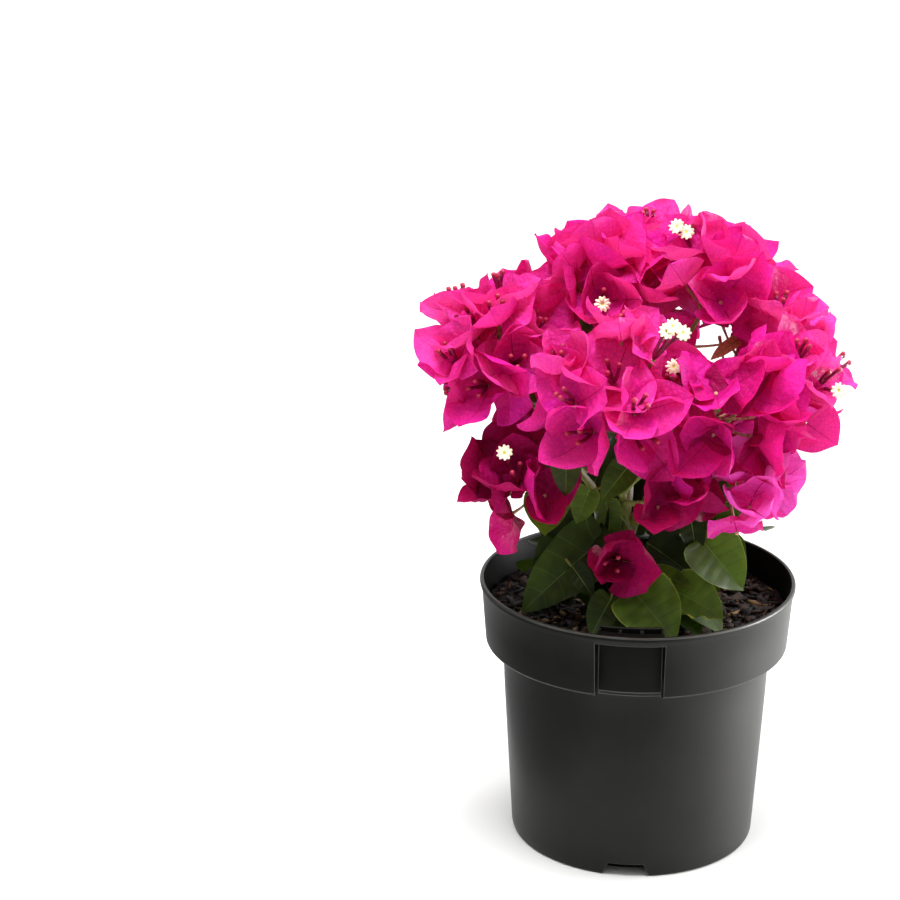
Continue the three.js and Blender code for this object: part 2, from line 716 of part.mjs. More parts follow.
// A leafy mass's stem leaves the side of the main stem
function stemFromTrunk(mass) {
  const root = stemCurve.getPoint(mass.share);
  const aim = between(root, mass.middle);
  const clear = stemRadius(mass.share) + CLEAR + BOUGH_TIP_RADIUS;
  return { start: root.clone().addScaledVector(aim, clear), end: mass.middle };
}

// The solids of the limbs, each bough cut clear of those that were there before it
const LIMB_CLEAR = 0.35;

function makeLimbs() {
  const made = new Map();
  const kept = [];
  limbs.forEach((limb, name) => {
    const sides = name === 'main_stem' ? 8 : BOUGH_SIDES;
    let shape = limbSolid(limb.points, limb.radii, sides);
    kept.forEach((other) => {
      shape = shape.subtract(other);
    });
    made.set(name, largest(shape));
    kept.push(limbSolid(limb.points, limb.radii.map((radius) => radius + LIMB_CLEAR), sides));
  });
  return made;
}

// Materials
const finish = (color, roughness) => new THREE.MeshStandardMaterial({ color, roughness, metalness: 0 });
const MATERIALS = {
  pot: finish('#30302e', 0.5),
  mix: finish('#2a1d16', 0.95),
  bark: finish('#7c7a4a', 0.75),
  bough: finish('#8a9440', 0.6),
  bract: finish('#d9128a', 0.55),
  leaf: finish('#3f6324', 0.45),
};

const plant = new THREE.Group();

function addPiece(name, shape, material) {
  const mesh = new THREE.Mesh(geometryOf(shape), material);
  mesh.name = name;
  plant.add(mesh);
}

addPiece('pot', makePot(), MATERIALS.pot);
addPiece('potting_mix', makePottingMix(), MATERIALS.mix);
makeLimbs().forEach((shape, name) => {
  if (name === 'main_stem') addPiece(name, shape, MATERIALS.bark);
  else addPiece(`bough_${name}`, shape, MATERIALS.bough);
});
MASSES.forEach((mass, number) => {
  addPiece(`flowers_${mass.name}`, growMass(mass, number, stemFromBough(mass)), MATERIALS.bract);
});
LEAF_MASSES.forEach((mass, number) => {
  addPiece(mass.name, growMass(mass, MASSES.length + number, stemFromTrunk(mass)), MATERIALS.leaf);
});

export default plant;
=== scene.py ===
# %% [markdown]
# # A bougainvillea bush in its nursery pot
# The plant is a young bougainvillea: a short stem, a crown of magenta bracts, heart-shaped leaves and a black
# moulded pot. What looks like a petal is a bract, a coloured leaf. Three bracts stand round three slim true
# flowers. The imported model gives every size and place, and this lesson grows the fine surface on it.

import math

import bmesh
import bpy
import numpy as np
from mathutils import Euler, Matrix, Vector


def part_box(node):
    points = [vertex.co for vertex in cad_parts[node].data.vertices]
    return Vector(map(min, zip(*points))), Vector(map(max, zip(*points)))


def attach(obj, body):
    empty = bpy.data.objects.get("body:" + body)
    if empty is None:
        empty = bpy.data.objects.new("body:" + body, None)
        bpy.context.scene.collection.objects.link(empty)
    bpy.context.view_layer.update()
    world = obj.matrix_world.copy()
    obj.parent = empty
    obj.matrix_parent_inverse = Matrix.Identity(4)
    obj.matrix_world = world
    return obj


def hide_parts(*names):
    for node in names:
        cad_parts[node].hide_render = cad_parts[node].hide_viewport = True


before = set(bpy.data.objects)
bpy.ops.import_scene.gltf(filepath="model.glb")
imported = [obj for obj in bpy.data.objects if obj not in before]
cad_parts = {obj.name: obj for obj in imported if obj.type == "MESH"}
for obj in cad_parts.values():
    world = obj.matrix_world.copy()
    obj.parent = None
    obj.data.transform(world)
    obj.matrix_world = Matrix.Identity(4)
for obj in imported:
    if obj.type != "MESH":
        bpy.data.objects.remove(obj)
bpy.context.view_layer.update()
MM = 0.001

# %% [markdown]
# ## Camera
# A product photograph of a plant is taken from a little above with a long lens, so that the pot keeps its
# straight sides. The camera was fitted to the three ellipses of the pot: its rim, its band and its foot.

# %% Camera
PICTURE = 900
LENS = 100
SENSOR = 36
CAMERA_PLACE = np.array([-119.0, -1476.0, 765.0])
CAMERA_PITCH = math.radians(19)
FOCAL_PIXELS = PICTURE * LENS / SENSOR

camera_data = bpy.data.cameras.new("camera")
camera_data.lens = LENS
camera_data.sensor_width = SENSOR
camera = bpy.data.objects.new("camera", camera_data)
camera.location = Vector(CAMERA_PLACE * MM)
camera.rotation_euler = Euler((math.pi / 2 - CAMERA_PITCH, 0, 0))
bpy.context.scene.collection.objects.link(camera)
bpy.context.scene.camera = camera

FORWARD = np.array([0, math.cos(CAMERA_PITCH), -math.sin(CAMERA_PITCH)])
UPWARD = np.array([0, math.sin(CAMERA_PITCH), math.cos(CAMERA_PITCH)])


def pixel_of(spots):
    """Where one place, or each of many, falls in the picture."""
    rays = spots - CAMERA_PLACE
    scale = FOCAL_PIXELS / (rays @ FORWARD)
    return np.stack([PICTURE / 2 + scale * rays[..., 0], PICTURE / 2 - scale * (rays @ UPWARD)], axis=-1)


def place_at(pixel, depth):
    """The place that a pixel shows at a depth of y."""
    ray = FORWARD * FOCAL_PIXELS + UPWARD * (PICTURE / 2 - pixel[1])
    ray = ray + np.array([pixel[0] - PICTURE / 2, 0, 0])
    return CAMERA_PLACE + ray * (depth - CAMERA_PLACE[1]) / ray[1]


print("the pot's foot shows at pixel", pixel_of(np.zeros(3)).round())

# %% [markdown]
# ## Vectors and runs of random numbers
# A plant grows by a rule with a little chance in it. Each flower group, bract and leaf has a run of random
# numbers of its own, from the numbers that name it, so the bush is the same each time. The same runs grew the
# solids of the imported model, so the twigs here leave the boughs at the same places.

# %% Vectors
UP = np.array([0.0, 0.0, 1.0])
FULL_TURN = 2 * math.pi
THIRD_TURN = FULL_TURN / 3
GOLDEN_TURN = math.pi * (3 - math.sqrt(5))


def spot_of(x, y, z):
    return np.array([x, y, z], float)


def mix(low, high, share):
    return low + (high - low) * share


def unit(vector):
    return vector / np.linalg.norm(vector)


def between(start, end):
    return unit(end - start)


def across(axis):
    side = np.cross(UP, axis)
    return unit(side) if np.linalg.norm(side) > 0.01 else np.array([1.0, 0.0, 0.0])


def tilted(axis, tilt, turn):
    """A direction that leans away from axis by tilt, on the side that turn says."""
    side = across(axis)
    front = np.cross(axis, side)
    lean = math.cos(turn) * side + math.sin(turn) * front
    return math.cos(tilt) * axis + math.sin(tilt) * lean


# %% Runs of random numbers
FIRST_SEED = 23


def seeded(*keys):
    """A run of random numbers between 0 and 1 that belongs to these keys."""
    state = FIRST_SEED
    for key in keys:
        state = state * 61 + key + 1

    def draw():
        nonlocal state
        state = state * 16807 % 2147483647
        return state / 2147483647

    return draw


def drawn(rand, span):
    return mix(span[0], span[1], rand())


# %% Curves
def bezier(handles, shares):
    """Points on the cubic curve of four handles."""
    t = np.asarray(shares, float)[:, None]
    a, b, c, d = handles
    return a * (1 - t) ** 3 + 3 * b * t * (1 - t) ** 2 + 3 * c * t**2 * (1 - t) + d * t**3


def tangent(handles, share):
    a, b, c, d = handles
    return unit((b - a) * (1 - share) ** 2 + 2 * (c - b) * share * (1 - share) + (d - c) * share**2)


# %% [markdown]
# ## Piles of small meshes
# A thousand bracts, leaves and chips as single objects would be slow, and an export drops particles. So each
# kind is gathered as arrays of corners and faces in a pile and becomes one mesh. A face also keeps the number
# of its material slot: that is how one mesh holds several shades.

# %% A pile of small meshes
class Pile:
    """Corners, faces and slots of many small things, in millimetres."""

    def __init__(self):
        self.points = []
        self.faces = []
        self.slots = []
        self.corners = 0

    def add(self, points, slots, *groups_of_faces):
        """Slots is one slot, or one for each face. A group of faces has one number of corners."""
        self.points.append(points)
        for faces in groups_of_faces:
            self.faces.append(faces + self.corners)
            self.slots.append(np.broadcast_to(slots, len(faces)))
        self.corners += len(points)

    def triangles(self):
        return sum(len(faces) * (faces.shape[1] - 2) for faces in self.faces)


# %% One object from a pile
def object_from(name, pile, materials):
    """One smooth mesh object from a pile."""
    mesh = bpy.data.meshes.new(name)
    points = np.concatenate(pile.points) * MM
    corners = np.concatenate([faces.ravel() for faces in pile.faces])
    sizes = np.concatenate([np.full(len(faces), faces.shape[1]) for faces in pile.faces])
    mesh.vertices.add(len(points))
    mesh.vertices.foreach_set("co", points.ravel())
    mesh.loops.add(len(corners))
    mesh.loops.foreach_set("vertex_index", corners)
    mesh.polygons.add(len(sizes))
    mesh.polygons.foreach_set("loop_start", np.cumsum(sizes) - sizes)
    mesh.polygons.foreach_set("material_index", np.concatenate(pile.slots))
    mesh.update(calc_edges=True)
    mesh.validate()
    mesh.shade_smooth()
    for material in materials:
        mesh.materials.append(material)
    made = bpy.data.objects.new(name, mesh)
    bpy.context.scene.collection.objects.link(made)
    print(f"{name}: {pile.triangles()} triangles")
    return made


# %% Grids, caps and tubes
def grid_faces(rows, columns, wrap=False):
    """Four-cornered faces of a grid of corners, closed round where wrap says so."""
    across_count = columns if wrap else columns - 1
    row, column = np.meshgrid(np.arange(rows - 1), np.arange(across_count), indexing="ij")
    here = row * columns + column
    beside = row * columns + (column + 1) % columns
    return np.stack([here, beside, beside + columns, here + columns], axis=-1).reshape(-1, 4)


def cap_faces(middle, first, count):
    """Triangles from a middle corner to the closed ring of corners that starts at first."""
    here = np.arange(count)
    return np.stack([np.full(count, middle), first + here, first + (here + 1) % count], axis=-1)


def add_tube(pile, points, radii, slot, sides, relief=None):
    """A round limb along points, closed at both ends."""
    rings = len(points)
    aims = np.gradient(points, axis=0)
    aims /= np.linalg.norm(aims, axis=1)[:, None]
    turns = np.arange(sides) * FULL_TURN / sides
    side = across(aims[0])
    corners = []
    for k in range(rings):
        side = unit(side - (side @ aims[k]) * aims[k])
        front = np.cross(aims[k], side)
        swell = radii[k] * (1 if relief is None else relief(k, turns))
        ring = np.outer(np.cos(turns) * swell, side) + np.outer(np.sin(turns) * swell, front)
        corners.append(points[k] + ring)
    corners.append(points[[0, -1]])
    foot, last = rings * sides, (rings - 1) * sides
    caps = [cap_faces(foot, 0, sides)[:, ::-1], cap_faces(foot + 1, last, sides)]
    pile.add(np.concatenate(corners), slot, grid_faces(rings, sides, wrap=True), *caps)


# %% [markdown]
# ## How materials are made here
# Every colour is written as the sRGB hex value that a colour picker shows, and one function turns it to the
# linear value that the renderer works in. One small function adds a node with its settings and its links.

# %% Colours and nodes
def linear(hex_colour):
    channels = [int(hex_colour[k : k + 2], 16) / 255 for k in (1, 3, 5)]
    return [c / 12.92 if c <= 0.04045 else ((c + 0.055) / 1.055) ** 2.4 for c in channels] + [1.0]


def add_node(material, kind, links=(), **settings):
    """A node of this kind. A setting is one of its own values or, where it has none, of its sockets."""
    tree = material.node_tree
    node = tree.nodes.new(kind)
    for name, value in settings.items():
        if hasattr(node, name):
            setattr(node, name, value)
        else:
            node.inputs[name.replace("_", " ")].default_value = value
    for output, name in links:
        tree.links.new(output, node.inputs[name])
    return node


def new_material(name, colour, roughness, ior=1.5):
    """A material with one Principled shader, and that shader."""
    material = bpy.data.materials.new(name)
    material.use_nodes = True
    shader = material.node_tree.nodes["Principled BSDF"]
    shader.inputs["Base Color"].default_value = linear(colour)
    shader.inputs["Roughness"].default_value = roughness
    shader.inputs["IOR"].default_value = ior
    return material, shader


# %% Finishes
def grained(name, low, high, roughness, patch, grain, depth, ior=1.5, stretch=(1, 1, 1), edges=(0.35, 0.65)):
    """A finish of two tones in patches, with a relief of fine grains. Patch, grain and depth are in mm."""
    material, shader = new_material(name, high, roughness, ior)
    links = material.node_tree.links
    places = add_node(material, "ShaderNodeTexCoord").outputs["Object"]
    clouds = []
    for size in (patch, grain):
        sized = add_node(material, "ShaderNodeMapping", [(places, "Vector")])
        sized.inputs["Scale"].default_value = [k / (size * MM) for k in stretch]
        sized_places = [(sized.outputs["Vector"], "Vector")]
        cloud = add_node(material, "ShaderNodeTexNoise", sized_places, Scale=1, Detail=4)
        clouds.append(cloud.outputs["Fac"])
    ramp = add_node(material, "ShaderNodeValToRGB", [(clouds[0], "Fac")])
    for element, edge, tone in zip(ramp.color_ramp.elements, edges, (low, high)):
        element.position = edge
        element.color = linear(tone)
    links.new(ramp.outputs["Color"], shader.inputs["Base Color"])
    bump = add_node(material, "ShaderNodeBump", [(clouds[1], "Height")], Strength=1, Distance=depth * MM)
    links.new(bump.outputs["Normal"], shader.inputs["Normal"])
    return material, shader


def let_light_through(material, shader, colour, share):
    """This share of the light goes through the sheet, and comes out in this colour."""
    glow = add_node(material, "ShaderNodeBsdfTranslucent", Color=linear(colour))
    parts = [(shader.outputs["BSDF"], 1), (glow.outputs["BSDF"], 2)]
    both = add_node(material, "ShaderNodeMixShader", parts, Fac=share)
    output = material.node_tree.nodes["Material Output"]
    material.node_tree.links.new(both.outputs["Shader"], output.inputs["Surface"])


# %% [markdown]
# ## The pot's material
# The pot is moulded from recycled polypropylene, coloured with carbon black. The mould is lightly
# sandblasted, which leaves a grain of about a third of a millimetre, and the plastic is waxy: a broad soft
# sheen and no mirror. The grain is drawn at 0.9 mm, coarser than it is, so that it shows. Moulded edges are
# painted a lighter grey: a painted highlight where light catches them.

# %% Polypropylene
def polypropylene(name, low, high, roughness):
    material, shader = grained(name, low, high, roughness, 30, 0.9, 0.03, ior=1.49)
    shader.inputs["Specular IOR Level"].default_value = 0.21
    return material


BLACK_PLASTIC = polypropylene("polypropylene_sandblasted_black", "#0c0c0a", "#11110e", 0.4)
# A lighter grey for the bevelled edges: a painted highlight
EDGE_HIGHLIGHT_PLASTIC = polypropylene("polypropylene_painted_edge_highlight", "#383834", "#4a4a45", 0.45)
print("materials:", BLACK_PLASTIC.name, "and", EDGE_HIGHLIGHT_PLASTIC.name)

# %% [markdown]
# ## The pot
# A nursery pot is one thin moulded wall: a tapered bucket with a deep band under its rim. At the front the
# band has a recess with a slotted holder for a plant label above it, and the foot has three drainage notches.
# A round form is easily turned from a profile, but recess and notches break it. So the pot is turned from a
# profile that changes from column to column: each column of corners asks which profile it has at its angle.

# %% Pot sizes
pot_low, pot_high = (np.array(corner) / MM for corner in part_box("pot"))
HOLDER_RISE = 1.8
POT_HEIGHT = pot_high[2] - HOLDER_RISE
RIM_RADIUS = (pot_high[0] - pot_low[0]) / 2
BAND_FOOT = POT_HEIGHT - 42
BAND_FOOT_RADIUS = RIM_RADIUS - 4
WALL_TOP_RADIUS = 85.5
BASE_RADIUS = 78
POT_WALL = 2
LIP = 2.6
FRONT_TURN = math.radians(-96.5)
RECESS_HALF_ANGLE = math.radians(12.5)
PANEL_RADIUS = BAND_FOOT_RADIUS - 7
RECESS_TOP = POT_HEIGHT - 6.5
HOLDER_GAP = 3.6
HOLDER_CELLS = 3
HOLDER_RIB = 1 / RIM_RADIUS
NOTCHES = 3
NOTCH_HEIGHT = 8.5
NOTCH_FOOT = 30
NOTCH_HEAD = 22
NOTCH_DEPTH = 12
NOTCH_ROOF = 4
INSIDE_REACH = 10
COLUMN_TURN = math.radians(1.25)
EDGE_ROUND = 0.4
EDGE_ANGLE = math.radians(33)
WELD = 0.02
print("rim radius and height of the pot, mm:", round(RIM_RADIUS, 1), round(POT_HEIGHT, 1))

# %% Foot and wall profile
def foot_profile(notched):
    """The stretch from the underside's middle to just above the notches."""
    inner = BASE_RADIUS - NOTCH_DEPTH
    if notched:
        heights = [0, 0.9, 1.8, 2.7, NOTCH_HEIGHT]
        return [(0, 0)] + [(inner, z) for z in heights]
    return [
        (0, 0),
        (BASE_RADIUS - 1.8, 0),
        (BASE_RADIUS - 1.0, 0.15),
        (BASE_RADIUS - 0.4, 0.6),
        (BASE_RADIUS + 0.2, 2.4),
        (wall_radius(NOTCH_HEIGHT), NOTCH_HEIGHT),
    ]


def wall_radius(height):
    return mix(BASE_RADIUS + 0.2, WALL_TOP_RADIUS, (height - 2.4) / (BAND_FOOT - 5.4))


# %% Band profile
def band_profile(kind):
    """The stretch from under the band over the rim to the inside, for a plain, cell or rib column."""
    recessed = kind != "plain"
    front = PANEL_RADIUS if recessed else BAND_FOOT_RADIUS
    upper = PANEL_RADIUS if recessed else RIM_RADIUS - 1.4
    points = [
        (WALL_TOP_RADIUS - 1.2, BAND_FOOT - 20),
        (WALL_TOP_RADIUS - 0.2, BAND_FOOT - 5),
        (WALL_TOP_RADIUS + 0.4, BAND_FOOT - 2),
        (WALL_TOP_RADIUS + 1.5, BAND_FOOT - 1),
        (front - 1, BAND_FOOT),
        (front, BAND_FOOT + 1.2),
        (mix(front, upper, 0.5), BAND_FOOT + 18),
        (upper, RECESS_TOP - 0.01),
        (RIM_RADIUS - 1.4, RECESS_TOP),
        (RIM_RADIUS - 0.3, POT_HEIGHT - 3.6),
        (RIM_RADIUS, POT_HEIGHT - 2.4),
        (RIM_RADIUS, POT_HEIGHT - 0.9),
        (RIM_RADIUS - 0.5, POT_HEIGHT - 0.2),
        (RIM_RADIUS - 1.3, POT_HEIGHT),
    ]
    holder_front = PANEL_RADIUS + HOLDER_GAP
    holder_top = POT_HEIGHT + HOLDER_RISE
    if kind == "plain":
        inner = RIM_RADIUS - LIP
        points += [(inner + 0.4, POT_HEIGHT), (inner, POT_HEIGHT - 0.4), (inner - 0.1, POT_HEIGHT - 2)]
        points += [(inner - 0.2, POT_HEIGHT - 3), (inner - 0.3, POT_HEIGHT - 4)]
        points += [(inner - 0.6, POT_HEIGHT - INSIDE_REACH)]
    else:
        floor = RECESS_TOP + 2 if kind == "cell" else POT_HEIGHT
        inner = PANEL_RADIUS - POT_WALL
        points += [(holder_front, POT_HEIGHT), (holder_front - 0.01, floor), (PANEL_RADIUS, floor)]
        points += [(PANEL_RADIUS - 0.01, holder_top), (inner, holder_top)]
        points += [(inner, POT_HEIGHT - INSIDE_REACH)]
    low = PANEL_RADIUS - POT_WALL if recessed else BAND_FOOT_RADIUS - POT_WALL
    shoulder = WALL_TOP_RADIUS - POT_WALL
    points += [(low, BAND_FOOT + 4), (shoulder + 1, BAND_FOOT + 2), (shoulder, BAND_FOOT)]
    inner_floor = NOTCH_HEIGHT + NOTCH_ROOF
    return points + [(BASE_RADIUS - POT_WALL - 1, inner_floor), (0, inner_floor)]


# %% Pot columns
def turned_to(angle, middle):
    """How far an angle is from another, between minus and plus half a turn."""
    return (angle - middle + math.pi) % FULL_TURN - math.pi


def pot_columns():
    """Each column: its angle at the foot, its angle higher up, and its two kinds of profile."""
    notch_middles = [FRONT_TURN + k * THIRD_TURN for k in range(NOTCHES)]
    notch_high = NOTCH_HEAD / 2 / BASE_RADIUS
    notch_low = NOTCH_FOOT / 2 / BASE_RADIUS
    cell = 2 * RECESS_HALF_ANGLE / HOLDER_CELLS
    cell_middles = [FRONT_TURN + (k - (HOLDER_CELLS - 1) / 2) * cell for k in range(HOLDER_CELLS)]
    breaks = [FRONT_TURN - RECESS_HALF_ANGLE, FRONT_TURN + RECESS_HALF_ANGLE]
    breaks += [middle + side * (cell / 2 - HOLDER_RIB) for middle in cell_middles for side in (-1, 1)]
    breaks += [middle + side * notch_high for middle in notch_middles for side in (-1, 1)]
    count = round(FULL_TURN / COLUMN_TURN)
    plain = [FRONT_TURN + (k + 0.5) * FULL_TURN / count for k in range(count)]
    near = COLUMN_TURN / 3
    plain = [a for a in plain if all(abs(turned_to(a, b)) > near for b in breaks)]
    hair = 1e-6
    angles = plain + [b - hair for b in breaks] + [b + hair for b in breaks]
    columns = []
    for angle in sorted(a % FULL_TURN for a in angles):
        notched = any(abs(turned_to(angle, middle)) < notch_high for middle in notch_middles)
        low = angle
        for middle in notch_middles:
            off = turned_to(angle, middle)
            if abs(off) < notch_high:
                low = angle + off * (notch_low / notch_high - 1)
            elif abs(off) < 2 * notch_low:
                share = (abs(off) - notch_high) / (2 * notch_low - notch_high)
                low = angle + math.copysign(mix(notch_low, 2 * notch_low, share), off) - off
        kind = "plain"
        if abs(turned_to(angle, FRONT_TURN)) < RECESS_HALF_ANGLE:
            in_cell = any(abs(turned_to(angle, m)) < cell / 2 - HOLDER_RIB for m in cell_middles)
            kind = "cell" if in_cell else "rib"
        columns.append((low, angle, notched, kind))
    return columns


# %% Pot mesh
def make_pot():
    columns = pot_columns()
    corners = []
    for low, angle, notched, kind in columns:
        foot = foot_profile(notched)
        middle_wall = [(wall_radius(z), z) for z in (NOTCH_HEIGHT + 0.01, 20, 45, 75, 100)]
        for radius, z in foot + middle_wall + band_profile(kind):
            turn = mix(low, angle, min(z / NOTCH_HEIGHT, 1))
            corners.append((radius * math.cos(turn), radius * math.sin(turn), z))
    rows = len(corners) // len(columns)
    around = grid_faces(len(columns), rows)
    last = (len(columns) - 1) * rows
    k = np.arange(rows - 1)
    seam = np.stack([last + k, last + k + 1, k + 1, k], axis=-1)
    mesh = bmesh.new()
    made = [mesh.verts.new(np.array(corner) * MM) for corner in corners]
    for face in np.concatenate([around[:, ::-1], seam[:, ::-1]]):
        mesh.faces.new([made[i] for i in face])
    bmesh.ops.remove_doubles(mesh, verts=mesh.verts, dist=WELD * MM)
    bmesh.ops.dissolve_degenerate(mesh, edges=mesh.edges, dist=WELD * MM)
    bmesh.ops.recalc_face_normals(mesh, faces=mesh.faces)
    data = bpy.data.meshes.new("nursery_pot")
    mesh.to_mesh(data)
    mesh.free()
    data.shade_smooth()
    data.materials.append(BLACK_PLASTIC)
    data.materials.append(EDGE_HIGHLIGHT_PLASTIC)
    pot = bpy.data.objects.new("nursery_pot", data)
    bpy.context.scene.collection.objects.link(pot)
    bevel = pot.modifiers.new("moulded_edges", "BEVEL")
    bevel.width = EDGE_ROUND * MM
    bevel.segments = 2
    bevel.limit_method = "ANGLE"
    bevel.angle_limit = EDGE_ANGLE
    bevel.use_clamp_overlap = False
    # The bevels take the lighter grey of slot 1: a painted highlight along the moulded edges
    bevel.material = 1
    bevel.harden_normals = True
    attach(pot, "root")
    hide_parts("pot")
    print("the pot has", len(columns), "columns of", rows, "corners")


make_pot()

# %% [markdown]
# ## Potting mix
# The mix is composted bark: nearly black, wet and lumpy, with loose chips of red-brown and a few of pale
# sapwood. The bed is a closed body with a lumpy top made of a few overlaid waves, and each chip is its own
# small splinter with uneven corners. Chips are drawn at random places and lie on the bed.

# %% Potting mix materials
COMPOST, _ = grained("composted_bark_moist", "#0b0807", "#2b1d14", 0.85, 2.5, 1.6, 0.8, edges=(0.4, 0.72))


def bark_chip(name, low, high):
    return grained(name, low, high, 0.75, 1.2, 0.8, 0.25)[0]


CHIPS = [
    bark_chip("bark_chip_dark", "#0f0b09", "#241812"),
    bark_chip("bark_chip_red_brown", "#291b14", "#4a3224"),
    bark_chip("bark_chip_brown", "#463022", "#745438"),
    bark_chip("bark_chip_sapwood", "#94724a", "#bd9c6a"),
]
CHIP_SHARES = [0.52, 0.8, 0.94, 1.0]
print("materials:", COMPOST.name, "and", len(CHIPS), "kinds of chip")

# %% Potting mix
MIX_TOP = POT_HEIGHT - 21
MIX_ROOM = 94.8
MIX_FOOT = MIX_TOP - 12
MIX_SPOKES = 180
MIX_RINGS = 56
HOLDER_MARGIN = 0.02
CLEAR = 0.3


def mix_height(x, y):
    """The lumpy top of the bed, which rises a little to the wall."""
    radius = np.hypot(x, y)
    waves = 1.1 * np.sin(0.11 * x + 1.3) * np.cos(0.13 * y + 0.4) + 0.8 * np.sin(0.31 * x + 0.27 * y)
    waves = waves + 0.45 * np.sin(0.83 * x - 0.5 * y + 1) + 0.35 * np.cos(1.1 * y + 0.6 * x)
    return MIX_TOP + waves * np.clip((radius - 8) / 12, 0, 1) + 1.2 * (radius / MIX_ROOM) ** 6


def mix_room(turn):
    """How far the bed reaches at an angle: it stops at the back of the label holder."""
    off = np.abs(turned_to(turn, FRONT_TURN))
    return np.where(off < RECESS_HALF_ANGLE + HOLDER_MARGIN, PANEL_RADIUS - POT_WALL - CLEAR, MIX_ROOM)


def make_potting_mix():
    pile = Pile()
    turns = np.arange(MIX_SPOKES) * FULL_TURN / MIX_SPOKES
    corners = []
    for ring in range(MIX_RINGS):
        radius = mix_room(turns) * (ring + 0.2) / (MIX_RINGS - 0.8)
        x, y = radius * np.cos(turns), radius * np.sin(turns)
        corners.append(np.stack([x, y, mix_height(x, y)], axis=-1))
    corners.append(corners[-1] * [1, 1, 0] + [0, 0, MIX_FOOT])
    corners.append(np.array([[0, 0, MIX_TOP], [0, 0, MIX_FOOT]]))
    last = MIX_RINGS * MIX_SPOKES
    middle = last + MIX_SPOKES
    caps = [cap_faces(middle, 0, MIX_SPOKES), cap_faces(middle + 1, last, MIX_SPOKES)[:, ::-1]]
    pile.add(np.concatenate(corners), 0, grid_faces(MIX_RINGS + 1, MIX_SPOKES, wrap=True), *caps)
    return object_from("potting_mix_bed", pile, [COMPOST])


# %% Bark chips
CHIP_SEED = 11
CHIP_COUNT = 2000
SPLINTER_SHARE = 0.82
SPLINTER_HALF = (1.2, 4.2)
CHIP_HALF = (4, 9)
CHIP_SLIMNESS = (0.18, 0.45)
CHIP_THICKNESS = (0.3, 1.0)
CHIP_CORNERS = np.array([[x, y, z] for z in (-1, 1) for y in (-1, 1) for x in (-1, 0, 1)], float)
CHIP_FACES = np.array(
    [
        [0, 3, 4, 1], [1, 4, 5, 2], [6, 7, 10, 9], [7, 8, 11, 10], [0, 1, 7, 6],
        [1, 2, 8, 7], [3, 9, 10, 4], [4, 10, 11, 5], [0, 6, 9, 3], [2, 5, 11, 8],
    ]
)


def make_chips():
    rng = np.random.default_rng(CHIP_SEED)
    pile = Pile()
    for _ in range(CHIP_COUNT):
        turn = rng.uniform(0, FULL_TURN)
        length = rng.uniform(*(SPLINTER_HALF if rng.random() < SPLINTER_SHARE else CHIP_HALF))
        half = np.array([length, length * rng.uniform(*CHIP_SLIMNESS), rng.uniform(*CHIP_THICKNESS)])
        radius = (mix_room(turn) - 1.35 * length - 1) * math.sqrt(rng.uniform(0.01, 1))
        x, y = radius * math.cos(turn), radius * math.sin(turn)
        shape = CHIP_CORNERS * half * (1 + rng.uniform(-0.3, 0.3, CHIP_CORNERS.shape))
        shape[:, 2] += rng.uniform(-0.12, 0.12) * shape[:, 0]
        lean = Euler((rng.normal(0, 0.28), rng.normal(0, 0.22), rng.uniform(0, FULL_TURN))).to_matrix()
        place = np.array([x, y, mix_height(x, y) + half[2] * rng.uniform(0.2, 1.3)])
        slot = int(np.searchsorted(CHIP_SHARES, rng.random()))
        pile.add(shape @ np.array(lean).T + place, slot, CHIP_FACES)
    return object_from("bark_chips", pile, CHIPS)


mix_bed = make_potting_mix()
chips = make_chips()
for piece in (mix_bed, chips):
    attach(piece, "root")
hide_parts("potting_mix")

# %% [markdown]
# ## Stem and boughs
# The stem is a cutting of two or three years: woody and grey-brown at its foot, green and ridged higher up.
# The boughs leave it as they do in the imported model, because the rule below is the same one. Each limb is
# lofted as a tube whose radius has the relief of real bark: shallow ridges along it, and a swollen node with
# a leaf scar every 14 mm.

# %% Bark and green wood
def bark_material(name, low, high, grain):
    return grained(name, low, high, 0.7, grain, grain / 2, 0.35, stretch=(1.6, 1.6, 0.4))[0]


WOODY_BARK = bark_material("bark_grey_brown", "#4b3f2b", "#8b7d58", 2.5)
GREEN_BARK = bark_material("bark_young_green", "#6f7634", "#98a14c", 3)
COPPER_SHOOT = bark_material("shoot_coppery", "#a87258", "#d0a084", 3)
print("materials:", [material.name for material in (WOODY_BARK, GREEN_BARK, COPPER_SHOOT)])

# %% Sizes of the stem and the boughs
STEM_FOOT = spot_of(0, 0, MIX_TOP)
STEM_HEEL = spot_of(0, 0, MIX_TOP + 2)
STEM_TOP = spot_of(-9, -5, 206)
STEM_FLARE_RADIUS = 11
STEM_RADIUS = 5
STEM_TIP_RADIUS = 4
BOUGH_RADIUS = 3.1
BRANCH_RADIUS = 2.1
BOUGH_TIP_RADIUS = 1.5
FORK_TAPER = 0.85
BOUGH_END = 0.6
BOUGH_SAG = 0.04
HEART = spot_of(-5, 0, 240)

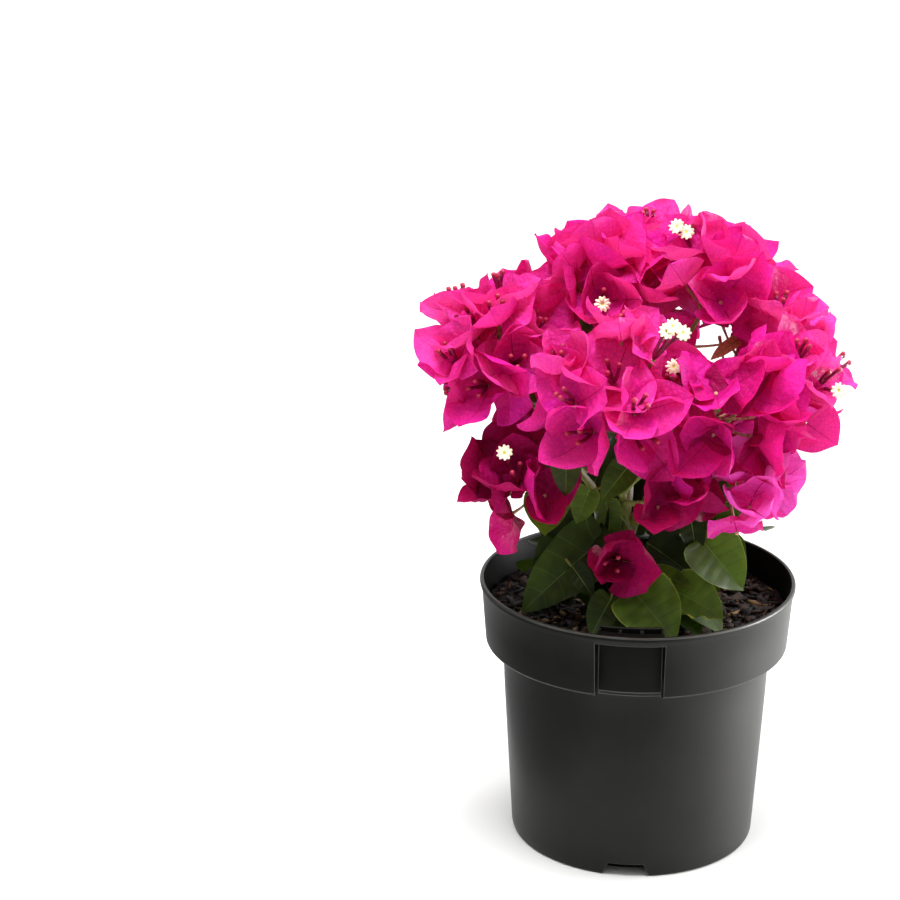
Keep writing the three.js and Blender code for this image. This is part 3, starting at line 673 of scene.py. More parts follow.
# %% The masses
# Each flower mass: the limb its bough leaves and where, its middle, its reach, its flower groups, the finer
# groups added here, its leaves, and how many of its first group's flowers are open
MASSES = {
    "top_back": ("main_stem", 1, (8, 58, 342), 58, 6, 4, 1, 0),
    "left": ("main_stem", 0.8, (-85, -24, 322), 58, 8, 4, 1, 0),
    "right": ("main_stem", 0.9, (72, -16, 306), 58, 7, 5, 1, 0),
    "middle_left": ("main_stem", 0.95, (-20, -66, 308), 58, 7, 5, 1, 0),
    "back_left": ("main_stem", 0.85, (-62, 54, 312), 58, 7, 4, 1, 1),
    "back_right": ("main_stem", 0.75, (66, 50, 304), 58, 7, 4, 1, 0),
    "top_left": ("top_back", 0.5, (-26, 2, 353), 58, 6, 4, 1, 0),
    "top_right": ("top_back", 0.65, (40, 0, 354), 58, 7, 4, 0, 0),
    "middle_right": ("middle_left", 0.42, (42, -62, 304), 58, 6, 4, 1, 0),
    "low_left": ("left", 0.34, (-70, -44, 248), 50, 4, 2, 1, 0),
    "low_middle": ("middle_left", 0.28, (2, -66, 248), 46, 2, 1, 1, 0),
    "low_right": ("right", 0.3, (56, -54, 244), 48, 4, 2, 1, 0),
    "low_front": ("main_stem", 0.6, (-18, -60, 208), 40, 1, 0, 0, 0),
    "back_middle": ("top_back", 0.35, (2, 76, 282), 54, 5, 3, 2, 1),
    "back_low_left": ("back_left", 0.36, (-48, 66, 238), 50, 4, 2, 2, 0),
    "back_low_right": ("back_right", 0.36, (46, 68, 236), 50, 4, 2, 2, 0),
}
LEAF_MASSES = {
    "leaves_left": (0.6, (-50, -26, 200), 54, 7),
    "leaves_front": (0.4, (16, -50, 190), 48, 6),
    "leaves_right": (0.7, (56, 0, 204), 50, 7),
    "leaves_back": (0.5, (-6, 46, 200), 54, 7),
}
print(len(MASSES), "masses of bracts and", len(LEAF_MASSES), "masses of leaves")

# %% The limbs' curves
def stem_radius(share):
    flare = (STEM_FLARE_RADIUS - STEM_RADIUS) * (1 - share) ** 9
    return mix(STEM_RADIUS, STEM_TIP_RADIUS, share) + flare


limbs = {
    "main_stem": {
        "handles": (STEM_HEEL, STEM_HEEL + 16 * UP, STEM_TOP - spot_of(1, 1, 20), STEM_TOP),
        "radius": stem_radius,
    }
}


def add_bough(name, parent_name, share, centre, reach):
    parent = limbs[parent_name]
    start = bezier(parent["handles"], [share])[0]
    middle = spot_of(*centre)
    inward = between(middle, start)
    end = middle + BOUGH_END * reach * inward
    length = np.linalg.norm(end - start)
    set_off = unit(tangent(parent["handles"], share) + between(start, end))
    bend = end + inward * length / 3 - UP * length * BOUGH_SAG
    thick = BOUGH_RADIUS if parent_name == "main_stem" else BRANCH_RADIUS
    foot = min(thick, parent["radius"](share) * FORK_TAPER)
    limbs[name] = {
        "handles": (start, start + set_off * length / 3, bend, end),
        "radius": lambda along: mix(foot, BOUGH_TIP_RADIUS, along),
    }


for name, (parent_name, share, centre, reach, *_) in MASSES.items():
    add_bough(name, parent_name, share, centre, reach)
print("the bush has", len(limbs) - 1, "boughs")

# %% Bark relief
NODE_SPACING = 14
NODE_HALF = 2.2
NODE_SWELL = 0.16
RIDGE_RISE = 0.045
CRACK_DEPTH = 0.03
RING_SPACING = 1.2
LIMB_SIDES = 20
BARK_RUN = 7
STEM_SUNK = 3


def bark_relief(lengths, ridges, seed):
    """How far the surface stands out at ring k and at each turn, round 1."""
    rand = seeded(seed, BARK_RUN)
    phases = [FULL_TURN * rand() for _ in range(4)]

    def relief(k, turns):
        height = lengths[k]
        wander = 0.5 * math.sin(height / 9 + phases[0])
        ridge = RIDGE_RISE * np.sin(ridges * turns + wander * 2 + phases[1])
        crack = CRACK_DEPTH * np.sin(2 * ridges * turns + height / 2.3 + phases[2])
        near = (height / NODE_SPACING) % 1 - 0.5
        swell = NODE_SWELL * math.exp(-((near * NODE_SPACING / NODE_HALF) ** 2))
        scar_side = turns - GOLDEN_TURN * math.floor(height / NODE_SPACING)
        scar = swell * 0.9 * np.maximum(np.cos(scar_side), 0) ** 3
        return 1 + ridge + crack + swell * 0.5 + scar

    return relief


# %% Stem and boughs
def make_limbs():
    pile = Pile()
    for number, (name, limb) in enumerate(limbs.items()):
        chord = np.linalg.norm(limb["handles"][3] - limb["handles"][0])
        rings = max(int(chord * 1.1 / RING_SPACING), 8)
        shares = np.linspace(0, 1, rings)
        points = bezier(limb["handles"], shares)
        radii = np.array([limb["radius"](share) for share in shares])
        if name == "main_stem":
            points = np.concatenate([[STEM_FOOT - STEM_SUNK * UP], points])
            radii = np.concatenate([[STEM_FLARE_RADIUS + 1], radii])
        steps = np.linalg.norm(np.diff(points, axis=0), axis=1)
        lengths = np.concatenate([[0], np.cumsum(steps)])
        relief = bark_relief(lengths, 4 if name == "main_stem" else 3, number)
        add_tube(pile, points, radii, 0 if name == "main_stem" else 1, LIMB_SIDES, relief)
    made = object_from("stem_and_boughs", pile, [WOODY_BARK, GREEN_BARK])
    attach(made, "root")
    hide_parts("main_stem", *[f"bough_{name}" for name in MASSES])


make_limbs()

# %% [markdown]
# ## Bracts and leaves as curved sheets
# A bract is paper-thin, so it is one curved sheet of faces with no thickness. Its shape is a formula: an
# outline that is heart-shaped at its foot and drawn out to a point, folded along the midrib, cupped, bowed
# along its length and ruffled at its edges. The rows of the mesh run along the side veins, so each vein is a
# thin strip of faces with a slot of its own, and the sheet swells a little between two veins, as real ones
# do.

# %% The sheet's grid
BRACT_VEINS = [0.07, 0.19, 0.33, 0.48, 0.64]
LEAF_VEINS = [0.08, 0.22, 0.38, 0.56, 0.74]
VEIN_HALF = 0.005
VEIN_SWEEP = 0.3
FIRST_ROW = 0.004
LAST_ROW = 0.996
SIDE_STEPS = [0.2, 0.42, 0.64, 0.84, 0.965, 1]
PLAIN, VEIN, MIDRIB, RIM, FOOT = range(5)


def sheet_grid(veins):
    """Rows along the side veins and columns from edge to edge, with what each face is."""
    rows, swell, kinds = [FIRST_ROW], [0.0], []
    edges = veins + [LAST_ROW]
    start = FIRST_ROW
    for number, vein in enumerate(edges):
        end = vein - VEIN_HALF if number < len(veins) else LAST_ROW
        steps = 5 if number == len(veins) else 3
        for step in range(1, steps + 1):
            share = step / steps
            rows.append(mix(start, end, share))
            swell.append(math.sin(math.pi * share) * (1 if number < len(veins) else 0.4))
            # The two strips at the foot get their own kind. Bracts paint them deeper: partly own colour,
            # partly painted shade
            kinds.append(FOOT if number < 2 else PLAIN)
        if number < len(veins):
            start = vein + VEIN_HALF
            rows.append(start)
            swell.append(0.0)
            kinds.append(VEIN)
    sides = [-step for step in reversed(SIDE_STEPS)] + [0, 0] + SIDE_STEPS
    column_kinds = [RIM] + [PLAIN] * (len(SIDE_STEPS) - 1) + [MIDRIB]
    column_kinds += [PLAIN] * (len(SIDE_STEPS) - 1) + [RIM]
    rib = [0.0] * len(SIDE_STEPS) + [-1, 1] + [0.0] * len(SIDE_STEPS)
    kind = np.repeat(np.array(kinds)[:, None], len(column_kinds), axis=1)
    for column, own in enumerate(column_kinds):
        if own != PLAIN:
            kind[:, column] = own
    along, side = np.meshgrid(rows, sides, indexing="ij")
    swell = np.repeat(np.array(swell)[:, None], len(sides), axis=1)
    swept = along + VEIN_SWEEP * np.abs(side) ** 1.3 * (1 - along) * np.minimum(1, 5 * along)
    return {
        "along": swept.ravel(),
        "row": along.ravel(),
        "side": side.ravel(),
        "rib": np.tile(rib, len(rows)),
        "swell": swell.ravel(),
        "faces": grid_faces(len(rows), len(sides)),
        "kinds": kind.ravel(),
    }


# %% Outlines
class Outline:
    """How the half width goes from foot to tip, with 1 as its most. A higher full keeps it wide longer."""

    def __init__(self, foot, full, tip, lobe):
        self.foot, self.full, self.tip, self.lobe = foot, full, tip, lobe
        self.most = 1
        self.most = self.width(np.linspace(0, 1, 500)).max()

    def width(self, along):
        along = np.clip(along, 0, 1)
        return along**self.foot * (1 - along**self.full) ** self.tip / self.most


BRACT_OUTLINE = Outline(0.4, 2.5, 1.08, 2.0)
LEAF_OUTLINE = Outline(0.5, 1.8, 1.15, 1.8)
print("a bract is widest at", round(float(np.argmax(BRACT_OUTLINE.width(np.linspace(0, 1, 101)))) / 100, 2))

# %% Places on a sheet
PLAIN_SHEET = {"belly": 0.0, "flick": 0.0, "twist": 0.0, "bite": 0.0}
RIB_HALF = 0.35
KEEL = 0.4
BITE_PLACE = 0.72
BITE_SPREAD = 0.2


def sheet_points(sheet, along, side, rib=0, swell=0, row=None):
    """Places on a curved sheet. along runs from foot to tip and side from edge to edge."""
    row = along if row is None else row
    outline = sheet["outline"]
    half = sheet["width"] / 2 * outline.width(along)
    # A bite takes a ragged piece of one edge
    bites = np.exp(-(((along - BITE_PLACE) / BITE_SPREAD) ** 2)) * (0.6 + 0.4 * np.sin(36 * along))
    bites = sheet["bite"] * bites
    offset = half * side * (1 - bites * np.maximum(side, 0) ** 2) + rib * RIB_HALF * (1 - 0.8 * row)
    lobe = outline.lobe * side**2 * along * (1 - along) ** 3
    # The edges are ruffled by two waves
    wave = np.sin(9 * along + sheet["phase"] + 2 * side)
    small_wave = 0.35 * np.sin(21 * along + 2.3 * sheet["phase"] - 3 * side)
    ruffle = sheet["wave"] * half * np.abs(side) ** 3 * (wave + small_wave)
    # The sheet is bowed along its length, folded along its midrib and cupped
    bow = sheet["belly"] * along * (1 - along) + sheet["curl"] * along**2
    fold = (1 - KEEL) * side**2 + KEEL * np.abs(side)
    relief = sheet["relief"] * swell * (1 - side**2) * np.minimum(1, 6 * np.abs(side))
    rise = sheet["cup"] * half * fold - sheet["length"] * bow + ruffle + relief
    # Its tip flicks up or down, and it twists
    flick = sheet["flick"] * sheet["length"] * np.maximum(along - 0.8, 0) ** 2
    flick = flick + sheet["twist"] * half * side * along
    # Uneven small folds go all over it
    crease = np.sin(5.5 * along + 1.7 * side + sheet["phase"])
    crease = crease + 0.45 * np.sin(13 * along + 4.1 * side * np.sign(rib + side) + 2.1 * sheet["phase"])
    crease = crease + 0.3 * np.sin(7.3 * side - 9 * along + 3.7 * sheet["phase"]) * np.abs(side)
    flick = flick + sheet["crease"] * sheet["length"] * crease * np.minimum(along, 0.6)
    return (
        sheet["root"]
        + np.outer(sheet["length"] * (along - lobe), sheet["aim"])
        + np.outer(offset, sheet["side"])
        + np.outer(rise + flick, sheet["face"])
    )


BRACT_GRID = sheet_grid(BRACT_VEINS)
LEAF_GRID = sheet_grid(LEAF_VEINS)
print("faces in a bract:", len(BRACT_GRID["faces"]))


def add_sheet(pile, grid, sheet, slots):
    """slots: the slot of the blade, its veins, its midrib, its rim and the part at its foot."""
    points = sheet_points(sheet, grid["along"], grid["side"], grid["rib"], grid["swell"], grid["row"])
    pile.add(points, np.array(slots)[grid["kinds"]], grid["faces"])


# %% [markdown]
# ## The bracts' materials
# A bract is a papery leaf full of magenta betacyanin. Light goes through it, so the shader is a mix: a soft
# surface with a faint satin sheen, and a translucent part that sends light through as a redder pink. Between
# the side veins there is a fine net with meshes of about 2 mm. It is drawn as the edges of Voronoi cells of
# 3 mm, a little coarser than it is, so that it shows. Six shades are dealt out by group: a random spread of
# tone, and painted light and shade, paler where light falls and deeper in shade.

# %% Papery bracts
BRACT_PATCH = 14
BRACT_NET = 3
BRACT_CRUMPLE = 7
NET_RELIEF = 0.7
CRUMPLE_RELIEF = 1.6
LIGHT_THROUGH_BRACT = 0.36


def papery(name, colour, through, net_colour):
    """A thin translucent sheet: its colour, the colour of light through it, and its net of veins."""
    material, shader = new_material(name, colour, 0.55, ior=1.4)
    shader.inputs["Specular IOR Level"].default_value = 0.12
    links = material.node_tree.links
    places = [(add_node(material, "ShaderNodeTexCoord").outputs["Object"], "Vector")]
    patches = add_node(material, "ShaderNodeTexNoise", places, Detail=3, Scale=1 / (BRACT_PATCH * MM))
    tone = add_node(material, "ShaderNodeMix", [(patches.outputs["Fac"], "Factor")], data_type="RGBA")
    tone.inputs["A"].default_value = linear(colour)
    tone.inputs["B"].default_value = linear(through)
    cells = add_node(material, "ShaderNodeTexVoronoi", places, feature="DISTANCE_TO_EDGE")
    cells.inputs["Scale"].default_value = 1 / (BRACT_NET * MM)
    to_edge = cells.outputs["Distance"]
    net = add_node(material, "ShaderNodeMapRange", [(to_edge, "Value")], From_Max=0.12, To_Min=0.7, To_Max=0)
    netted = add_node(material, "ShaderNodeMix", [(net.outputs["Result"], "Factor")], data_type="RGBA")
    links.new(tone.outputs["Result"], netted.inputs["A"])
    netted.inputs["B"].default_value = linear(net_colour)
    links.new(netted.outputs["Result"], shader.inputs["Base Color"])
    crumple = add_node(material, "ShaderNodeTexNoise", places, Detail=2, Scale=1 / (BRACT_CRUMPLE * MM))
    folds = add_node(material, "ShaderNodeBump", [(crumple.outputs["Fac"], "Height")], Strength=1)
    folds.inputs["Distance"].default_value = CRUMPLE_RELIEF * MM
    under = [(to_edge, "Height"), (folds.outputs["Normal"], "Normal")]
    bump = add_node(material, "ShaderNodeBump", under, Strength=0.8, Distance=NET_RELIEF * MM)
    links.new(bump.outputs["Normal"], shader.inputs["Normal"])
    let_light_through(material, shader, through, LIGHT_THROUGH_BRACT)
    return material


# %% Bract shades
# Each shade: its name, then the colours of its blade, of light through it, of its net and of its side veins
SHADES = [
    ("crimson", "#a00e6a", "#ac0e46", "#7c084a", "#840a50"),
    ("rose", "#ce189e", "#de1a6c", "#a20e6c", "#a6106e"),
    ("magenta", "#dc20b8", "#ec2888", "#b21284", "#b61486"),
    ("bright", "#e428b4", "#f43890", "#bc1688", "#c0188c"),
    ("pink", "#ec36bc", "#fa4ca2", "#c81e98", "#cc209c"),
    ("violet_pink", "#f25ad8", "#fc62c8", "#d844b8", "#dc48bc"),
]
BLADES = [papery(f"bract_{name}", own, through, net) for name, own, through, net, _ in SHADES]
SIDE_VEINS = [papery(f"bract_{name}_vein", vein, through, net) for name, _, through, net, vein in SHADES]
BRACT_MIDRIB = papery("bract_midrib", "#a01062", "#b01450", "#8c0c4c")
MIDRIB_SLOT = 2 * len(SHADES)
print("shades of the bracts:", [blade.name for blade in BLADES])

# %% [markdown]
# ## Where a bract may lie
# Bracts press against each other but don't run through each other much. To keep count of where there is
# room, the crown's space is cut in cubes of 3 mm. A new bract is drawn several times, and the draw with the
# fewest cubes already taken is kept. A draw that leaves the reach of its mass or the crown's outline, touches
# the pot or closes the gap in the crown costs more.

# %% Room in the crown
CELL = 3.0
ROOM_LOW = spot_of(-170, -160, 140)
ROOM_SHAPE = (114, 108, 96)
taken = np.zeros(ROOM_SHAPE, np.int32)
OVER_REACH = 5
ROOT_FREE = 6
WHORL_FREE = 24
MIX_FREE = 3
GAP_FRONT = spot_of(35, -100, 354)
GAP_BACK = spot_of(57, 100, 294)
GAP_RADIUS = 10.5
LIMB_MARK = -1
FRONT_LEAF_MARK = 900
LEAF_MARK = 1000

# What each spot of a sheet costs that is past the reach, in the pot, in the gap, before a flower that shows,
# or out of the crown's outline. A spot in a taken cube costs 1
REACH_COST = 0.6
POT_COST = 40
GAP_COST = 25
VIEW_COST = 6
OUTLINE_COST = 1.5


def cells_of(spots):
    found = ((spots - ROOM_LOW) / CELL).astype(int)
    return tuple(np.clip(found, 0, np.array(ROOM_SHAPE) - 1).T)


def in_pot(spots):
    """True where a spot is in the pot's wall or in the mix, or nearly so."""
    radius = np.hypot(spots[:, 0], spots[:, 1])
    low = spots[:, 2] < POT_HEIGHT + HOLDER_RISE + 1
    free = (radius < PANEL_RADIUS - 2 * POT_WALL) & (spots[:, 2] > MIX_TOP + MIX_FREE)
    return low & ~free


def off_gap(spots):
    way = GAP_BACK - GAP_FRONT
    share = np.clip((spots - GAP_FRONT) @ way / (way @ way), 0, 1)
    return np.linalg.norm(spots - GAP_FRONT - np.outer(share, way), axis=1)


# The spots of a sheet that are looked at
CHECKED = np.meshgrid(np.linspace(0.08, 1, 14), np.linspace(-1, 1, 11), indexing="ij")
CHECK_ALONG, CHECK_SIDE = (steps.ravel() for steps in CHECKED)

# %% The crown's outline
# Where the crown ends in the photograph, in pixels
CROWN_OUTLINE = np.array(
    [
        (411, 330), (424, 304), (452, 292), (500, 286), (538, 268), (541, 246), (570, 222), (612, 207),
        (664, 207), (700, 207), (742, 219), (780, 246), (812, 262), (829, 292), (832, 330), (846, 362),
        (856, 394), (842, 424), (826, 448), (796, 452), (788, 486), (776, 524), (748, 552), (700, 560),
        (655, 604), (612, 604), (582, 584), (584, 540), (540, 552), (508, 536), (470, 494), (460, 462),
        (470, 440), (436, 408), (416, 372),
    ],
    float,
)


def in_outline(pixels):
    """True for each pixel in the crown's outline: a line from it to the left crosses the outline an odd
    number of times."""
    start, end = CROWN_OUTLINE, np.roll(CROWN_OUTLINE, -1, axis=0)
    x, y = pixels[:, :1], pixels[:, 1:]
    spans = (start[:, 1] > y) != (end[:, 1] > y)
    rise = np.where(end[:, 1] == start[:, 1], 1, end[:, 1] - start[:, 1])
    crossing = start[:, 0] + (y - start[:, 1]) * (end[:, 0] - start[:, 0]) / rise
    return (spans & (crossing < x)).sum(axis=1) % 2 == 1


# %% What a sheet costs
# What has to stay in view: its pixel, its place, the room round it in pixels, and the group that it is of
in_view = []
OWN_ROOM = 0.6
WIDE_ROOM = 15
BEFORE = 2


def hidden_by(spots, pixels, group):
    """How many of these spots stand before something that has to stay in view."""
    count = 0
    distance = np.linalg.norm(spots - CAMERA_PLACE, axis=1)
    for pixel, place, room, owner in in_view:
        before = distance < np.linalg.norm(place - CAMERA_PLACE) - BEFORE
        near = np.linalg.norm(pixels - pixel, axis=1) < (room * OWN_ROOM if owner == group else room)
        count += (before & near & (owner != group or room < WIDE_ROOM)).sum()
    return count


def crowding(sheet, group, middle, reach, in_crown):
    """What a sheet costs where it lies, and its spots."""
    spots = sheet_points(sheet, CHECK_ALONG, CHECK_SIDE)
    from_root = np.linalg.norm(spots - sheet["root"], axis=1)
    owners = taken[cells_of(spots)]
    others = (owners != 0) & (owners != group) & (from_root > ROOT_FREE)
    same = (owners == group) & (from_root > WHORL_FREE)
    over = np.maximum(np.linalg.norm(spots - middle, axis=1) - reach - OVER_REACH, 0)
    cost = others.sum() + same.sum() + REACH_COST * over.sum()
    cost += POT_COST * in_pot(spots).sum() + GAP_COST * (off_gap(spots) < GAP_RADIUS).sum()
    pixels = pixel_of(spots)
    cost += VIEW_COST * hidden_by(spots, pixels, group)
    if in_crown:
        cost += OUTLINE_COST * (~in_outline(pixels)).sum()
    return cost, spots[from_root > ROOT_FREE]


# %% The best of several draws
for limb in limbs.values():
    taken[cells_of(bezier(limb["handles"], np.linspace(0, 1, 80)))] = LIMB_MARK


def least_crowded(draws, draw_sheet, group, middle, reach, most, in_crown=True):
    """The best of several draws, which takes its place, or None if it costs more than most."""
    tried = []
    for draw in range(draws):
        sheet = draw_sheet(draw / max(draws - 1, 1))
        cost, spots = crowding(sheet, group, middle, reach, in_crown)
        tried.append((cost, draw, sheet, spots))
    cost, _, sheet, spots = min(tried, key=lambda one: one[:2])
    if cost > most:
        return None, cost
    cells = cells_of(spots)
    taken[cells] = np.where(taken[cells] == 0, group, taken[cells])
    return sheet, cost


# %% [markdown]
# ## Flower groups
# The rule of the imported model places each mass's flower groups: the first looks straight out from the heart
# of the bush, and the rest stand in a ring round it. Here finer groups fill in between them. Each group has
# three bracts in a whorl, with a little chance in how wide each one opens.

# %% Bract shapes
BRACT_LENGTH = 49
BRACT_SHAPE = 0.98
BRACT_OPEN = [math.radians(28), math.radians(58)]
BRACT_SWAY = [-0.25, 0.25]
BRACT_BELLY = [0.35, 0.75]
BRACT_CUP = [0.2, 0.5]
BRACT_CURL = [-0.3, 0.25]
BRACT_WAVE = [0.1, 0.32]
BRACT_FLICK = [-1.5, 2.5]
BRACT_TWIST = [-0.35, 0.35]
BRACT_RELIEF = 0.9
BRACT_CREASE = 0.03
LENGTHS = [0.87, 1.09]
WIDTHS = [0.92, 1.08]
WHORL = math.radians(20)
DRAWS = 14
LEAST_SIZE = 0.74
FULLER = 1.25
FULL_REACH = 58
BRACT_SHEET = {
    **PLAIN_SHEET,
    "outline": BRACT_OUTLINE,
    "relief": BRACT_RELIEF,
    "crease": BRACT_CREASE,
}


def draw_bract(head, rand, turn, size):
    opening = drawn(rand, BRACT_OPEN)
    axis = head["axis"]
    out = tilted(axis, math.pi / 2, turn + drawn(rand, BRACT_SWAY))
    aim = math.cos(opening) * axis + math.sin(opening) * out
    face = math.sin(opening) * axis - math.cos(opening) * out
    side = np.cross(aim, face)
    length = BRACT_LENGTH * size * drawn(rand, LENGTHS)
    return {
        **BRACT_SHEET,
        "root": head["root"],
        "aim": aim,
        "face": math.cos(WHORL) * face + math.sin(WHORL) * side,
        "side": math.cos(WHORL) * side - math.sin(WHORL) * face,
        "length": length,
        "width": length * BRACT_SHAPE * drawn(rand, WIDTHS),
        "belly": drawn(rand, BRACT_BELLY),
        "cup": FULLER * drawn(rand, BRACT_CUP),
        "curl": drawn(rand, BRACT_CURL),
        "wave": drawn(rand, BRACT_WAVE),
        "phase": FULL_TURN * rand(),
    }


# %% Where the flower groups stand
HEAD_TILT = [math.radians(61), math.radians(83)]
HEAD_OUT = 0.45
FINER_TILT = [math.radians(24), math.radians(48)]
FINER_OUT = [0.5, 0.72]
ROOT_SUNK = 1.5
LONE_HEAD_PLACE = 0.4
HEAD_RISE = 0.4
FINER_RISE = 0.8
HEAD_CHANCE = 0.4
FINER_SIZE = 0.9

# Which run of random numbers a draw takes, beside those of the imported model
OUT_RUN = 9
SHADE_RUN = 8
SHOOT_RUN = 6
FALLEN_RUN = 12


def mass_stem(name, centre):
    """A mass's stem carries on from its bough's tip to its middle."""
    tip = limbs[name]["handles"][3]
    middle = spot_of(*centre)
    return tip + CLEAR * between(tip, middle), middle


def place_head(number, k, heads, centre, reach, stem):
    """Where flower group k of a mass stands. Groups past the mass's own number are the finer ones."""
    middle = spot_of(*centre)
    outward = between(HEART, middle)
    turn = FULL_TURN * seeded(number)()
    rand = seeded(number, k)
    finer = k >= heads
    tilt = 0 if k == 0 else drawn(rand, FINER_TILT if finer else HEAD_TILT)
    step = (k - heads) * GOLDEN_TURN + 0.5 if finer else FULL_TURN * k / max(heads - 1, 1)
    aim = tilted(outward, tilt, turn + step)
    out = drawn(seeded(number, k, OUT_RUN), FINER_OUT) if finer else HEAD_OUT
    foot = middle + aim * (reach * out if heads > 1 else 0)
    sway = spot_of(rand() - 0.5, rand() - 0.5, rand() - 0.5)
    axis = unit(aim + (FINER_RISE if finer else HEAD_RISE) * UP + HEAD_CHANCE * sway)
    along = 0.95 - 0.1 * (k - heads) if finer else 1 - 0.5 * k / heads
    if heads == 1:
        along = LONE_HEAD_PLACE
    leave = stem[0] + (stem[1] - stem[0]) * along
    root = foot - ROOT_SUNK * between(leave, foot)
    turn = FULL_TURN * rand()
    return {"foot": foot, "root": root, "axis": axis, "turn": turn, "leave": leave, "rand": rand}


# %% Shades by light
# Painted light and shade by mass: a plus is painted paler for more light, a minus deeper for shade, than its
# height tells
PAINTED_LIGHT_BY_MASS = {
    "low_right": 4,
    "low_left": -1.8,
    "low_middle": 0.1,
    "right": 0.2,
    "middle_right": -0.2,
    "left": 0.4,
    "top_left": 0.3,
}
PALEST_MASS = "low_right"
MIDDLE_SHADE = 2.1
MIDDLE_HEIGHT = 300
SHADE_RISE = 45
SHADE_WIDTH = 300
SHADE_CHANCE = 2


def shade_of(head, rand):
    """Painted light and shade: groups low on the shaded left are painted deeper, those in full light
    brighter, with a random spread. The palest shade, painted light shining through, is kept for one mass."""
    x, _, z = head["foot"]
    light = MIDDLE_SHADE + (z - MIDDLE_HEIGHT) / SHADE_RISE + x / SHADE_WIDTH
    light = light + PAINTED_LIGHT_BY_MASS.get(head["mass"], 0) + SHADE_CHANCE * (rand() - 0.5)
    palest = len(SHADES) - (1 if head["mass"] == PALEST_MASS else 2)
    return int(np.clip(round(light), 0, palest))


# %% The flower groups
heads = []
for number, (name, (_, _, centre, reach, own, finer, _, opened)) in enumerate(MASSES.items()):
    for k in range(own + finer):
        head = place_head(number, k, own, centre, reach, mass_stem(name, centre))
        head["keys"] = (number, k)
        head["size"] = (reach / FULL_REACH) ** 0.8 * (FINER_SIZE if k >= own else 1)
        head["open"] = opened if k == 0 else 0
        head["mass"] = name
        head["group"] = len(heads) + 1
        head["tips"] = []
        head["bracts"] = 0
        heads.append(head)
print(len(heads), "flower groups")

# %% [markdown]
# ## What shows in the photograph
# Most true flowers are closed buds. The open ones in front go where the photograph shows them: the group
# that stands nearest to each place gets the flower. Bracts and leaves that would stand before such a flower,
# before the low group by the stem, or before the places where the potting mix shows, cost more, so the view
# to them stays free.

# %% Choose the groups with open flowers
TUBE_LENGTH = 18
STAR_PIXELS = [
    (677, 227), (690, 240), (603, 304), (676, 319), (667, 332), (689, 328), (674, 367), (837, 395),
    (503, 449),
]
STAR_ROOM = 11
MOST_TIPS = 3
LEAST_FACING = 0.1
NEARNESS = 0.15


def group_for_star(pixel):
    """The front group whose flowers would show nearest to a pixel."""
    best = None
    for head in heads:
        tip = head["foot"] + head["axis"] * TUBE_LENGTH
        to_camera = unit(CAMERA_PLACE - tip)
        if head["axis"] @ to_camera < LEAST_FACING or len(head["tips"]) >= MOST_TIPS:
            continue
        cost = np.linalg.norm(pixel_of(tip) - pixel) - NEARNESS * (tip @ to_camera)
        if best is None or cost < best[0]:
            best = (cost, head, tip)
    return best[1:]


for star in STAR_PIXELS:
    pixel = np.array(star, float)
    head, tip = group_for_star(pixel)
    head["tips"].append(place_at(pixel, tip[1]))
    in_view.append((pixel, head["tips"][-1], STAR_ROOM, head["group"]))
    miss = np.linalg.norm(pixel_of(tip) - pixel)
    print("open flower at", star, "is", round(float(miss)), "pixels off the line of", head["mass"])


# %% Keep the potting mix and the low group in view
MIX_PIXELS = [
    (503, 594), (536, 604), (560, 614), (578, 622), (738, 604), (752, 616), (762, 590), (776, 600),
    (760, 568), (770, 576), (780, 586),
]
MIX_VIEW_ROOM = 12
LOW_GROUP_RISE = 12
LOW_GROUP_ROOM = 30
for spot in MIX_PIXELS:
    pixel = np.array(spot, float)
    sight = place_at(pixel, 0) - CAMERA_PLACE
    bed = CAMERA_PLACE + sight * (MIX_TOP - CAMERA_PLACE[2]) / sight[2]
    in_view.append((pixel, bed, MIX_VIEW_ROOM, 0))
low_group = next(head for head in heads if head["mass"] == "low_front")
low_middle = low_group["foot"] + LOW_GROUP_RISE * low_group["axis"]
in_view.append((pixel_of(low_middle), low_middle, LOW_GROUP_ROOM, low_group["group"]))
print(len(in_view), "places have to stay in view")

# %% [markdown]
# ## Leaves that show in the photograph
# The leaves low in front are large and few, and make much of the look of the plant. So each of them is set
# between two places that the photograph shows, the end of its stalk and its tip, and the rest grow by the
# rule. One of them is bitten at its edge, and the last is a young coppery leaf in the gap of the crown.

# %% Sizes of the front leaves
# Each leaf: pixel and depth of its foot, pixel and depth of its tip, its width by its length, its shade: a
# green that is partly the leaf's own and partly painted light and shade, deeper in shade and paler where lit
FRONT_LEAVES = [
    ((634, 592), -62, (676, 642), -88, 1.0, 2),
    ((612, 597), -60, (590, 637), -78, 0.72, 1),
    ((672, 589), -50, (724, 618), -70, 0.86, 2),
    ((654, 574), -38, (694, 588), -58, 0.5, 2),
    ((646, 542), -20, (702, 582), -30, 0.7, 0),
    ((700, 538), -40, (744, 591), -52, 0.86, 2),
    ((690, 512), -36, (697, 560), -44, 0.55, 0),
    ((606, 536), -30, (520, 613), -48, 0.56, 1),
    ((600, 520), -22, (532, 566), -22, 0.7, 0),
    ((572, 566), -50, (594, 598), -56, 0.6, 0),
    ((566, 434), -72, (566, 499), -72, 0.5, 1),
    ((632, 462), -56, (600, 502), -62, 0.62, 1),
    ((590, 488), -34, (576, 524), -36, 0.7, 2),
    ((606, 500), -20, (612, 545), -24, 0.6, 2),
    ((738, 340), -22, (710, 360), -30, 0.4, 3),
]
LEAF_ROOM = 11
LEAF_CUP = [0.1, 0.4]
LEAF_WAVE = [0.02, 0.12]
LEAF_RELIEF = 0.5
LEAF_CREASE = 0.012
